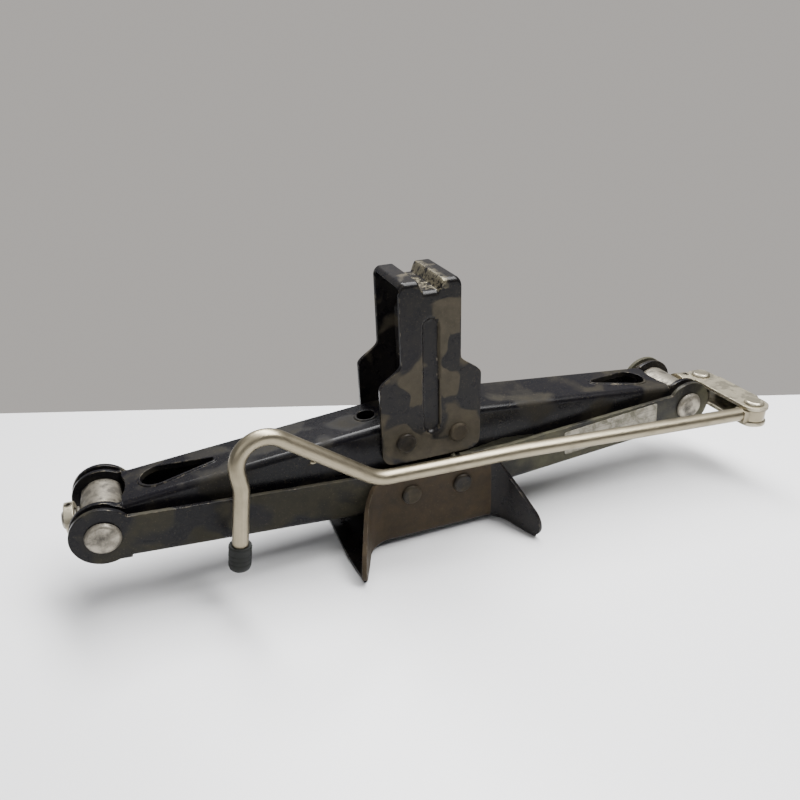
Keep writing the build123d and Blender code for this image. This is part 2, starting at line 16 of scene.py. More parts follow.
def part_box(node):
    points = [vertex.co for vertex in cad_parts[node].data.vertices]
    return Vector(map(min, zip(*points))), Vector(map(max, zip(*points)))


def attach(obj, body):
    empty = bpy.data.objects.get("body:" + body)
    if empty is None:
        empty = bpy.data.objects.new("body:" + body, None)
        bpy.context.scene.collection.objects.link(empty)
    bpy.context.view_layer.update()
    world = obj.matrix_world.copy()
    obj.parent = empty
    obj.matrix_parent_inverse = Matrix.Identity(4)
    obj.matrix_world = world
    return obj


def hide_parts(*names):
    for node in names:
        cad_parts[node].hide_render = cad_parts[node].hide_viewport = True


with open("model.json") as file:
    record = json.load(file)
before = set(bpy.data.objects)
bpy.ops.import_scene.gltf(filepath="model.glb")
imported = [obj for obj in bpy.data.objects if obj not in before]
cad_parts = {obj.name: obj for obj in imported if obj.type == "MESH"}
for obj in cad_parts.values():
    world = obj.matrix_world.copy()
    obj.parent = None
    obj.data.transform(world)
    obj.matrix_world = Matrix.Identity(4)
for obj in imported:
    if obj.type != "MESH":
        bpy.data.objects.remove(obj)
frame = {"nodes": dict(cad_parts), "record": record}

MM = 0.001
BMesh = bmesh.types.BMesh
MERGE = 1e-6  # closer than this, in metres, two vertices are one
SHADE_ANGLE = 42.0  # faces that turn by more than this, in degrees, are shaded apart
LOG = logging.getLogger("jack")
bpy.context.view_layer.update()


def linear(hex_colour: str) -> tuple[float, float, float, float]:
    """Turn an sRGB hex colour into the linear values that the shaders use.

    Args:
        hex_colour: six hex digits, such as "1f2021".

    Returns:
        Linear red, green, blue and an alpha of 1.
    """
    channels = [int(hex_colour[i : i + 2], 16) / 255 for i in (0, 2, 4)]
    curve = [c / 12.92 if c <= 0.04045 else ((c + 0.055) / 1.055) ** 2.4 for c in channels]
    return (curve[0], curve[1], curve[2], 1.0)


def add_node(
    tree: bpy.types.NodeTree, kind: str, inputs: dict | None = None, out: int | str = 0,
    **settings: object,
) -> bpy.types.NodeSocket | None:
    """Add a node with its settings, and give each named input a value or a link.

    Args:
        tree: the material's node tree.
        kind: the node's type name, without the "ShaderNode" that they all start with.
        inputs: socket name or index to a value, or to the socket that feeds it.
        out: which of its outputs is wanted, by name or index.
        settings: properties of the node itself.

    Returns:
        That output, or None for a node that has no outputs.
    """
    node = tree.nodes.new("ShaderNode" + kind)
    for name, value in settings.items():
        setattr(node, name, value)
    for key, value in (inputs or {}).items():
        if isinstance(value, bpy.types.NodeSocket):
            tree.links.new(value, node.inputs[key])
        else:
            node.inputs[key].default_value = value
    return node.outputs[out] if node.outputs else None


def smoothstep(value: float) -> float:
    """Ease from 0 to 1 as the value goes from 0 to 1."""
    t = min(1.0, max(0.0, value))
    return t * t * (3 - 2 * t)


def new_object(name: str, data: bpy.types.ID) -> bpy.types.Object:
    """Put an object with this data into the scene.

    Args:
        name: the object's name.
        data: its mesh, light or camera.

    Returns:
        The new object.
    """
    made = bpy.data.objects.new(name, data)
    bpy.context.scene.collection.objects.link(made)
    return made


class Axis(Enum):
    """Directions along which a turned piece can lie."""

    X = (1.0, 0.0, 0.0)
    Y = (0.0, 1.0, 0.0)


# ------------------------------------------------------------------ finishes


@dataclass(frozen=True)
class Finish:
    """A named surface finish.

    Attributes:
        name: the material's name.
        slot: the record's material slot that it stands for; not used.
    """

    name: str
    slot: str

    def start(self) -> tuple[bpy.types.Material, bpy.types.NodeTree]:
        """Make an empty node material.

        Returns:
            The material and its node tree.
        """
        material = bpy.data.materials.new(self.name)
        material.use_nodes = True
        tree = material.node_tree
        tree.nodes.clear()
        return material, tree

    def build(self) -> bpy.types.Material:
        """Make the material; each finish says how."""
        raise NotImplementedError


@dataclass(frozen=True)
class DustyPaint(Finish):
    """Satin black chassis paint on pressed steel, with dried road dust in rounded patches.

    The clean paint is nearly black with a faint violet sheen. Dust dries on it in soft-edged
    islands a few centimetres across, duller and browner than the paint, with fine grit between,
    and the paint rubs through to dull steel along cut edges.

    Attributes:
        dust: sRGB hex colour of the dried dust.
        dust_thick: sRGB hex colour of the dust where it is thickest.
        coverage: share of the surface that the dust patches cover, from 0 to 1.
        patch_mm: size of a patch.
        seed: moves the pattern, so that no two pieces match.
        film: thin even dust between the patches, from 0 to 1.
        rub_above_mm: height above which the paint is worn to bright metal, or None.
        mapped: whether the mesh attribute "dust" says where the patches lie; on the brackets it
            also carries painted shade and painted highlights.
    """

    dust: str = "3a352a"
    dust_thick: str = "463f32"
    coverage: float = 0.5
    patch_mm: float = 26.0
    seed: float = 0.0
    film: float = 0.18
    rub_above_mm: float | None = None
    mapped: bool = False

    CLEAN: ClassVar[tuple[str, str]] = ("08090b", "0f0d12")
    GRIT: ClassVar[str] = "5c5444"
    BARE: ClassVar[str] = "5a5449"
    SCUFFED: ClassVar[tuple[str, str]] = ("aca389", "3c372c")
    SATIN: ClassVar[float] = 0.13
    # Size in millimetres, detail and roughness of: the dust's cloudy thickness, its grit, the
    # drift of the clean paint's tone, the chips along cut edges and the paint's orange peel.
    LAYERS: ClassVar[dict[str, tuple[float, float, float]]] = {
        "cloud": (7, 4.0, 0.6),
        "grit": (0.9, 3.0, 0.7),
        "drift": (60, 1.0, 0.5),
        "chips": (4, 4.0, 0.65),
        "peel": (2.2, 2.0, 0.5),
    }

    def build(self) -> bpy.types.Material:
        """Make the material.

        Returns:
            The finished material.
        """
        material, tree = self.start()
        coord = add_node(tree, "TexCoord", out="Object")
        shifted = add_node(
            tree, "Mapping",
            {"Vector": coord, "Location": (self.seed, self.seed * 0.7, self.seed * 1.3)},
        )
        noise = {
            layer: add_node(
                tree, "TexNoise",
                {"Vector": shifted, "Scale": 1 / (size_mm * MM), "Detail": detail,
                 "Roughness": roughness},
            )
            for layer, (size_mm, detail, roughness) in self.LAYERS.items()
        }
        cloud, grit, drift, chips, peel = noise.values()
        # Dust islands: a soft low noise, cut at a level that sets how much they cover.
        islands = add_node(
            tree, "TexNoise",
            {"Vector": shifted, "Scale": 1 / (self.patch_mm * MM), "Detail": 2.0, "Roughness": 0.42,
             "Distortion": 0.5},
        )
        level = 0.66 - 0.32 * self.coverage
        if self.mapped:
            # The attribute carries dust and, on the brackets, painted shade and painted highlights.
            dust_and_shade_map = add_node(tree, "Attribute", attribute_name="dust", out="Fac")
            pull = 0.75
            islands = add_node(
                tree, "Math", {0: dust_and_shade_map, 1: pull, 2: islands}, operation="MULTIPLY_ADD",
            )
            level += pull / 2
        patch = add_node(
            tree, "MapRange",
            {"Value": islands, "From Min": level - 0.08, "From Max": level + 0.09},
            interpolation_type="SMOOTHSTEP",
        )
        # Grit specks of about half a millimetre lie between and on the islands.
        specks = add_node(tree, "MapRange", {"Value": grit, "From Min": 0.6, "From Max": 0.7})
        thick = add_node(
            tree, "MapRange",
            {"Value": cloud, "From Min": 0.3, "From Max": 0.7, "To Min": 0.62, "To Max": 1.0},
        )
        patch_depth = add_node(tree, "Math", {0: patch, 1: thick}, operation="MULTIPLY")
        film = add_node(
            tree, "MapRange",
            {"Value": cloud, "From Min": 0.25, "From Max": 0.8, "To Max": self.film * 2},
        )
        dusty = add_node(tree, "Math", {0: patch_depth, 1: film}, operation="MAXIMUM")
        # Clean paint drifts between a blue-black and a violet-black, under the dust.
        paint = add_node(
            tree, "Mix", {0: drift, 6: linear(self.CLEAN[0]), 7: linear(self.CLEAN[1])},
            data_type="RGBA", out=2,
        )
        dust_tone = add_node(
            tree, "Mix", {0: cloud, 6: linear(self.dust), 7: linear(self.dust_thick)},
            data_type="RGBA", out=2,
        )
        colour = add_node(tree, "Mix", {0: dusty, 6: paint, 7: dust_tone}, data_type="RGBA", out=2)
        speck_share = add_node(tree, "Math", {0: specks, 1: 0.35}, operation="MULTIPLY")
        colour = add_node(
            tree, "Mix", {0: speck_share, 6: colour, 7: linear(self.GRIT)}, data_type="RGBA", out=2,
        )
        # Cut edges: the attribute is 1 on the rounded edges, and noise breaks it into chips.
        edge = add_node(tree, "Attribute", attribute_name="edge", out="Fac")
        chipped = add_node(
            tree, "MapRange", {"Value": chips, "From Min": 0.52, "From Max": 0.62, "To Max": 0.6},
        )
        worn = add_node(tree, "Math", {0: edge, 1: chipped}, operation="MULTIPLY")
        colour = add_node(
            tree, "Mix", {0: worn, 6: colour, 7: linear(self.BARE)}, data_type="RGBA", out=2,
        )
        rough = add_node(tree, "MapRange", {"Value": dusty, "To Min": 0.25, "To Max": 0.7})
        height = add_node(tree, "Math", {0: grit, 1: dusty}, operation="MULTIPLY")
        relief = add_node(tree, "Math", {0: peel, 1: 0.5, 2: height}, operation="MULTIPLY_ADD")
        metal = worn
        if self.rub_above_mm is not None:
            colour, rough, metal, relief = self.rub_through(
                tree, coord, chips, (colour, rough, metal, relief)
            )
        bump = add_node(tree, "Bump", {"Height": relief, "Strength": 0.35, "Distance": 0.12 * MM})
        shader = add_node(
            tree, "BsdfPrincipled",
            {"Base Color": colour, "Roughness": rough, "Metallic": metal, "Normal": bump,
             "Specular IOR Level": self.SATIN},
        )
        add_node(tree, "OutputMaterial", {"Surface": shader})
        return material

    def rub_through(
        self,
        tree: bpy.types.NodeTree,
        coord: bpy.types.NodeSocket,
        chips: bpy.types.NodeSocket,
        below: tuple[bpy.types.NodeSocket, ...],
    ) -> tuple[bpy.types.NodeSocket, ...]:
        """Wear the paint down to scuffed bright steel above a height.

        Args:
            tree: the material's node tree.
            coord: object coordinates.
            chips: noise that breaks the wear's border.
            below: colour, roughness, metallic and relief of the paint.

        Returns:
            The four sockets with the worn area mixed in.
        """
        colour, rough, metal, relief = below
        across = add_node(tree, "SeparateXYZ", {0: coord}, out="X")
        height = add_node(tree, "SeparateXYZ", {0: coord}, out="Z")
        ragged = add_node(tree, "Math", {0: chips, 1: 9 * MM, 2: height}, operation="MULTIPLY_ADD")
        top = self.rub_above_mm * MM
        groove_x = -2.5 * MM
        zone = add_node(
            tree, "MapRange",
            {"Value": ragged, "From Min": top + 4.2 * MM, "From Max": top + 5.4 * MM},
        )
        # The wear is heaviest in and beside the groove, and thins out on the crests.
        side = add_node(tree, "Math", {0: across, 1: groove_x}, operation="ADD")
        away = add_node(tree, "Math", {0: side}, operation="ABSOLUTE")
        near = add_node(
            tree, "MapRange",
            {"Value": away, "From Min": 4 * MM, "From Max": 9 * MM, "To Min": 1.0, "To Max": 0.0},
        )
        scuffs = add_node(
            tree, "TexNoise",
            {"Vector": coord, "Scale": 1 / (3.2 * MM), "Detail": 5.0, "Roughness": 0.7,
             "Distortion": 0.8},
        )
        broken = add_node(tree, "MapRange", {"Value": scuffs, "From Min": 0.42, "From Max": 0.56})
        share = add_node(tree, "Math", {0: zone, 1: near}, operation="MULTIPLY")
        share = add_node(tree, "Math", {0: share, 1: broken}, operation="MULTIPLY")
        bright = add_node(
            tree, "Mix", {0: scuffs, 6: linear(self.SCUFFED[0]), 7: linear(self.SCUFFED[1])},
            data_type="RGBA", out=2,
        )
        colour = add_node(tree, "Mix", {0: share, 6: colour, 7: bright}, data_type="RGBA", out=2)
        rough = add_node(tree, "Mix", {0: share, 2: rough, 3: 0.42})
        steel = add_node(tree, "Math", {0: share, 1: 0.75}, operation="MULTIPLY")
        metal = add_node(tree, "Math", {0: metal, 1: steel}, operation="MAXIMUM")
        scraped = add_node(tree, "Math", {0: scuffs, 1: share}, operation="MULTIPLY")
        relief = add_node(tree, "Math", {0: scraped, 1: 2.5, 2: relief}, operation="MULTIPLY_ADD")
        return colour, rough, metal, relief


@dataclass(frozen=True)
class DrawnPlating(Finish):
    """Zinc-nickel plating on drawn round bar: creamy, satin, with fine lengthwise draw lines.

    The draw lines make the highlight a soft streak along the bar, and handling has left
    small dull stains.

    Attributes:
        tone: sRGB hex colour of the plating.
        line_mm: spacing of the draw lines, coarser than the real ones so that they show.
    """

    tone: str = "9a917c"
    line_mm: float = 0.7

    SHADE: ClassVar[str] = "7a7260"
    STAIN: ClassVar[str] = "6a6250"
    LINE_LENGTH_MM: ClassVar[float] = 70.0

    def build(self) -> bpy.types.Material:
        """Make the material.

        Returns:
            The finished material.
        """
        material, tree = self.start()
        along = add_node(tree, "UVMap", uv_map="along")
        stretched = add_node(
            tree, "Mapping",
            {"Vector": along,
             "Scale": (1 / (self.LINE_LENGTH_MM * MM), 1 / (self.line_mm * MM), 1.0)},
        )
        lines = add_node(
            tree, "TexNoise", {"Vector": stretched, "Scale": 1.0, "Detail": 3.0, "Roughness": 0.6},
        )
        coord = add_node(tree, "TexCoord", out="Object")
        stain = add_node(
            tree, "TexNoise",
            {"Vector": coord, "Scale": 1 / (11 * MM), "Detail": 4.0, "Roughness": 0.6},
        )
        stained = add_node(
            tree, "MapRange", {"Value": stain, "From Min": 0.52, "From Max": 0.78, "To Max": 0.5},
        )
        plating = add_node(
            tree, "Mix", {0: lines, 6: linear(self.tone), 7: linear(self.SHADE)}, data_type="RGBA",
            out=2,
        )
        colour = add_node(
            tree, "Mix", {0: stained, 6: plating, 7: linear(self.STAIN)}, data_type="RGBA", out=2,
        )
        rough = add_node(
            tree, "MapRange",
            {"Value": stain, "From Min": 0.3, "From Max": 0.75, "To Min": 0.34, "To Max": 0.46},
        )
        bump = add_node(tree, "Bump", {"Height": lines, "Strength": 0.12, "Distance": 0.03 * MM})
        shader = add_node(
            tree, "BsdfPrincipled",
            {"Base Color": colour, "Metallic": 1.0, "Roughness": rough, "Normal": bump},
        )
        add_node(tree, "OutputMaterial", {"Surface": shader})
        return material


@dataclass(frozen=True)
class MachinedSteel(Finish):
    """Turned or stamped steel with its own tarnish: zinc-plated, oiled or spring-tempered.

    Machining leaves fine rings, handling leaves cloudy tarnish, and grease holds dark dust.

    Attributes:
        tone: sRGB hex colour of the clean metal.
        grime: sRGB hex colour of the grease and dust on it.
        dirty: share of the surface under grime, from 0 to 1.
        roughness: of the clean metal.
    """

    tone: str = "b9b3a6"
    grime: str = "3a352c"
    dirty: float = 0.4
    roughness: float = 0.35

    def build(self) -> bpy.types.Material:
        """Make the material.

        Returns:
            The finished material.
        """
        material, tree = self.start()
        coord = add_node(tree, "TexCoord", out="Object")
        cloud = add_node(
            tree, "TexNoise",
            {"Vector": coord, "Scale": 1 / (9 * MM), "Detail": 5.0, "Roughness": 0.65},
        )
        level = 0.7 - 0.4 * self.dirty
        grime = add_node(
            tree, "MapRange",
            {"Value": cloud, "From Min": level - 0.1, "From Max": level + 0.12, "To Max": 0.9},
        )
        fine = add_node(
            tree, "TexNoise",
            {"Vector": coord, "Scale": 1 / (0.8 * MM), "Detail": 3.0, "Roughness": 0.7},
        )
        metal_tone = add_node(
            tree, "Mix", {0: fine, 6: linear(self.tone), 7: linear("8a8374")}, data_type="RGBA",
            out=2,
        )
        colour = add_node(
            tree, "Mix", {0: grime, 6: metal_tone, 7: linear(self.grime)}, data_type="RGBA", out=2,
        )
        rough = add_node(
            tree, "MapRange", {"Value": grime, "To Min": self.roughness, "To Max": 0.7},
        )
        metallic = add_node(tree, "MapRange", {"Value": grime, "To Min": 1.0, "To Max": 0.2})
        bump = add_node(tree, "Bump", {"Height": fine, "Strength": 0.2, "Distance": 0.06 * MM})
        shader = add_node(
            tree, "BsdfPrincipled",
            {"Base Color": colour, "Metallic": metallic, "Roughness": rough, "Normal": bump},
        )
        add_node(tree, "OutputMaterial", {"Surface": shader})
        return material


@dataclass(frozen=True)
class MouldedRubber(Finish):
    """Moulded black rubber, greyed by handling, with a fine matt grain and rubbed high spots."""

    def build(self) -> bpy.types.Material:
        """Make the material.

        Returns:
            The finished material.
        """
        material, tree = self.start()
        coord = add_node(tree, "TexCoord", out="Object")
        bloom = add_node(
            tree, "TexNoise",
            {"Vector": coord, "Scale": 1 / (6 * MM), "Detail": 4.0, "Roughness": 0.6},
        )
        grain = add_node(
            tree, "TexNoise", {"Vector": coord, "Scale": 1 / (0.5 * MM), "Detail": 2.0},
        )
        greyed = add_node(tree, "MapRange", {"Value": bloom, "From Min": 0.35, "From Max": 0.7})
        colour = add_node(
            tree, "Mix", {0: greyed, 6: linear("0a0b0a"), 7: linear("151713")}, data_type="RGBA",
            out=2,
        )
        rough = add_node(tree, "MapRange", {"Value": bloom, "To Min": 0.55, "To Max": 0.8})
        bump = add_node(tree, "Bump", {"Height": grain, "Strength": 0.4, "Distance": 0.08 * MM})
        shader = add_node(
            tree, "BsdfPrincipled",
            {"Base Color": colour, "Roughness": rough, "Normal": bump, "Specular IOR Level": 0.25},
        )
        add_node(tree, "OutputMaterial", {"Surface": shader})
        return material


@dataclass(frozen=True)
class ScuffedFilm(Finish):
    """Silvered polyester label film with a plain ruled frame, yellowed and scuffed by dirt."""

    def build(self) -> bpy.types.Material:
        """Make the material.

        Returns:
            The finished material.
        """
        material, tree = self.start()
        face = add_node(tree, "UVMap", uv_map="face")
        coord = add_node(tree, "TexCoord", out="Object")
        dirt = add_node(
            tree, "TexNoise",
            {"Vector": coord, "Scale": 1 / (8 * MM), "Detail": 6.0, "Roughness": 0.7,
             "Distortion": 0.6},
        )
        dirty = add_node(
            tree, "MapRange", {"Value": dirt, "From Min": 0.38, "From Max": 0.62, "To Max": 0.9},
        )
        up = add_node(tree, "SeparateXYZ", {0: face}, out="Y")
        # Ruled rows: thin grey lines across the film at even heights, with no lettering.
        rows = add_node(tree, "Math", {0: up, 1: 4.0}, operation="MULTIPLY")
        place = add_node(tree, "Math", {0: rows}, operation="FRACT")
        rule = add_node(tree, "Math", {0: place, 1: 0.1}, operation="LESS_THAN")
        ruled = add_node(tree, "Math", {0: rule, 1: 0.5}, operation="MULTIPLY")
        film = add_node(
            tree, "Mix", {0: ruled, 6: linear("8d887c"), 7: linear("45433d")}, data_type="RGBA",
            out=2,
        )
        colour = add_node(
            tree, "Mix", {0: dirty, 6: film, 7: linear("4b4839")}, data_type="RGBA", out=2,
        )
        rough = add_node(tree, "MapRange", {"Value": dirt, "To Min": 0.3, "To Max": 0.7})
        shader = add_node(
            tree, "BsdfPrincipled",
            {"Base Color": colour, "Roughness": rough, "Specular IOR Level": 0.3},
        )
        add_node(tree, "OutputMaterial", {"Surface": shader})
        return material


@dataclass(frozen=True)
class StudioSurface(Finish):
    """Painted studio board: plain, faintly uneven and slightly glossy.

    Attributes:
        tone: sRGB hex colour of the board.
        roughness: of the board.
    """

    tone: str = "dcdcdd"
    roughness: float = 0.5

    def build(self) -> bpy.types.Material:
        """Make the material.

        Returns:
            The finished material.
        """
        material, tree = self.start()
        coord = add_node(tree, "TexCoord", out="Object")
        drift = add_node(tree, "TexNoise", {"Vector": coord, "Scale": 6.0, "Detail": 3.0})
        rough = add_node(
            tree, "MapRange",
            {"Value": drift, "To Min": self.roughness - 0.06, "To Max": self.roughness + 0.06},
        )
        shader = add_node(
            tree, "BsdfPrincipled", {"Base Color": linear(self.tone), "Roughness": rough},
        )
        add_node(tree, "OutputMaterial", {"Surface": shader})
        return material


# ------------------------------------------------------------------ mesh helpers


SLIVER = 1.6  # a rounded vertex further off than this many widths is a sliver's


def round_edges(bm: BMesh, width_mm: float, angle_deg: float = 35.0) -> None:
    """Round every sharp edge, and mark the new faces in the corner attribute "edge".

    A vertex that the rounding throws far from its edge, as happens where two edges meet at a
    very small angle, is put back on the edge, so that no sliver stands out of the piece.

    Args:
        bm: the mesh to change.
        width_mm: how far the rounding reaches from each edge.
        angle_deg: an edge is sharp when its faces turn by more than this.
    """
    limit = math.radians(angle_deg)
    sharp = [e for e in bm.edges if len(e.link_faces) == 2 and e.calc_face_angle(0.0) > limit]
    ends = [vert.co.copy() for edge in sharp for vert in edge.verts]
    spans = [(2 * i, 2 * i + 1, 2 * i + 1) for i in range(len(sharp))]
    edge_lines = BVHTree.FromPolygons(ends, spans, all_triangles=True)
    made = bmesh.ops.bevel(
        bm, geom=sharp, offset=width_mm * MM, affect="EDGES", segments=2, profile=0.5,
        material=-1, clamp_overlap=False,
    )
    layer = bm.loops.layers.float.get("edge") or bm.loops.layers.float.new("edge")
    for face in made["faces"]:
        for loop in face.loops:
            loop[layer] = 1.0
    for vert in {vert for face in made["faces"] for vert in face.verts}:
        nearest, _, _, away = edge_lines.find_nearest(vert.co)
        if away > SLIVER * width_mm * MM:
            vert.co = nearest
    bmesh.ops.remove_doubles(bm, verts=bm.verts, dist=MERGE)
    bmesh.ops.dissolve_degenerate(bm, edges=bm.edges, dist=MERGE)


def finish_piece(
    bm: BMesh, name: str, body: str, finish: Finish, *nodes: str
) -> bpy.types.Object:
    """Turn a bmesh into a piece that rides on a body and stands for CAD nodes.

    Args:
        bm: the finished mesh; it is freed.
        name: the piece's name.
        body: the CAD body that it rides on.
        finish: its surface finish.
        nodes: the CAD nodes that it replaces.

    Returns:
        The new object.
    """
    mesh = bpy.data.meshes.new(name)
    bm.to_mesh(mesh)
    bm.free()
    mesh.shade_smooth()
    mesh.set_sharp_from_angle(angle=math.radians(SHADE_ANGLE))
    mesh.materials.append(finish.build())
    piece = new_object(name, mesh)
    weighted = piece.modifiers.new("face_weighted_normals", "WEIGHTED_NORMAL")
    weighted.keep_sharp = True
    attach(piece, body)
    if nodes:
        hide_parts(*nodes)
    LOG.info("%s: %d faces, rides on %s", name, len(mesh.polygons), body)
    return piece


def body_of(node: str) -> str:
    """Name the body that a CAD node belongs to.

    Args:
        node: the CAD node's name.

    Returns:
        The body's name.
    """
    bodies = frame["record"]["behaviour"]["bodies"]
    return next(body for body, members in bodies.items() if node in members)


def cad_copy(node: str) -> BMesh:
    """Copy a CAD node's mesh, merged, with its flat faces joined into single faces.

    Args:
        node: the CAD node's name.

    Returns:
        The copy.
    """
    bm = bmesh.new()
    bm.from_mesh(frame["nodes"][node].data)
    bmesh.ops.remove_doubles(bm, verts=bm.verts, dist=MERGE)
    bmesh.ops.dissolve_limit(
        bm, angle_limit=math.radians(0.6), verts=bm.verts, edges=bm.edges, delimit=set()
    )
    return bm


def cad_end(node: str, start_mm: float, width_mm: float) -> BMesh:
    """Cut the forged end off a CAD node's shape, close the cut and round the edges.

    Args:
        node: the CAD node's name.
        start_mm: where the end begins along X.
        width_mm: how far the rounding reaches from each edge.

    Returns:
        The end.
    """
    bm = cad_copy(node)
    cut = bmesh.ops.bisect_plane(
        bm, geom=bm.verts[:] + bm.edges[:] + bm.faces[:], plane_co=(start_mm * MM, 0, 0),
        plane_no=(1, 0, 0), clear_inner=True,
    )
    rim = [e for e in cut["geom_cut"] if isinstance(e, bmesh.types.BMEdge)]
    bmesh.ops.holes_fill(bm, edges=rim)
    round_edges(bm, width_mm)
    return bm


def dressed_copy(node: str, finish: Finish, width_mm: float) -> bpy.types.Object:
    """Stand a CAD node's own shape in for it, with its edges rounded.

    Args:
        node: the CAD node's name.
        finish: its surface finish.
        width_mm: how far the rounding reaches from each edge.

    Returns:
        The new object.
    """
    bm = cad_copy(node)
    round_edges(bm, width_mm)
    return finish_piece(bm, node + "_dressed", body_of(node), finish, node)


def turned(profile: list[tuple[float, float]], steps: int = 48) -> BMesh:
    """Spin a profile round the Z axis into a closed solid.

    Args:
        profile: (radius, height) points in millimetres, from pole to pole.
        steps: segments round the axis.

    Returns:
        The turned mesh, with its axis on Z.
    """
    bm = bmesh.new()
    verts = [bm.verts.new((radius * MM, 0.0, height * MM)) for radius, height in profile]
    edges = [bm.edges.new(pair) for pair in zip(verts, verts[1:])]
    bmesh.ops.spin(
        bm, geom=verts + edges, cent=(0, 0, 0), axis=(0, 0, 1), dvec=(0, 0, 0),
        angle=math.tau, steps=steps, use_merge=True, use_duplicate=False,
    )
    bmesh.ops.remove_doubles(bm, verts=bm.verts, dist=MERGE)
    bmesh.ops.recalc_face_normals(bm, faces=bm.faces)
    return bm


def place(bm: BMesh, direction: Vector, origin: Vector) -> None:
    """Turn a mesh's Z axis to a direction and move it to its place.

    Args:
        bm: the mesh to move.
        direction: where its Z axis is to point.
        origin: where its own origin goes, in metres.
    """
    turn = Vector((0, 0, 1)).rotation_difference(direction).to_matrix().to_4x4()
    bmesh.ops.transform(bm, matrix=Matrix.Translation(origin) @ turn, verts=bm.verts)


def joined(parts: list[BMesh]) -> BMesh:
    """Join meshes into one.

    Args:
        parts: the meshes; they are freed.

    Returns:
        One mesh that holds them all.
    """
    whole = bmesh.new()
    for part in parts:
        mesh = bpy.data.meshes.new("part")
        part.to_mesh(mesh)
        part.free()
        whole.from_mesh(mesh)
        bpy.data.meshes.remove(mesh)
    return whole


# ------------------------------------------------------------------ sub-assemblies


@dataclass
class PressedSheet:
    """A part pressed from one sheet, shaped as a grid and then given its thickness.

    Attributes:
        sheet_mm: thickness of the sheet.
        edge_mm: rounding of its cut edges.
    """

    sheet_mm: float = 2.8
    edge_mm: float = 0.45

    def point(self, u: float, v: float) -> Vector:
        """Place on the outer face, in millimetres, for u and v from -1 to 1."""
        raise NotImplementedError

    def shell(self, columns: int, rows: int) -> BMesh:
        """Shape the grid and thicken it inwards.

        Args:
            columns: grid steps along u.
            rows: grid steps along v.

        Returns:
            The closed sheet with rounded cut edges.
        """
        bm = bmesh.new()
        bmesh.ops.create_grid(bm, x_segments=columns, y_segments=rows, size=1.0)
        for vert in bm.verts:
            vert.co = self.point(vert.co.x, vert.co.y) * MM
        bmesh.ops.recalc_face_normals(bm, faces=bm.faces)
        self.face_outwards(bm)
        bmesh.ops.solidify(bm, geom=bm.faces, thickness=self.sheet_mm * MM)
        bmesh.ops.recalc_face_normals(bm, faces=bm.faces)
        round_edges(bm, self.edge_mm, 50.0)
        # This attribute holds where dust lies, and also painted shade and painted highlights.
        layer = bm.verts.layers.float.new("dust")
        for vert in bm.verts:
            vert[layer] = self.dust_and_shade_at(vert.co / MM)
        return bm

    def dust_and_shade_at(self, spot: Vector) -> float:
        """How readily dust has stuck at a place: 0 wiped clean, 0.5 average, 1 caked; it also
        carries painted shade and painted highlights.
        """
        raise NotImplementedError

    def face_outwards(self, bm: BMesh) -> None:
        """Flip the open grid if it faces the part's middle.

        Args:
            bm: the open grid.
        """
        middle = sum((v.co for v in bm.verts), Vector()) / len(bm.verts)
        outward = sum((f.calc_center_median() - middle).dot(f.normal) for f in bm.faces)
        if outward < 0:
            bmesh.ops.reverse_faces(bm, faces=bm.faces)


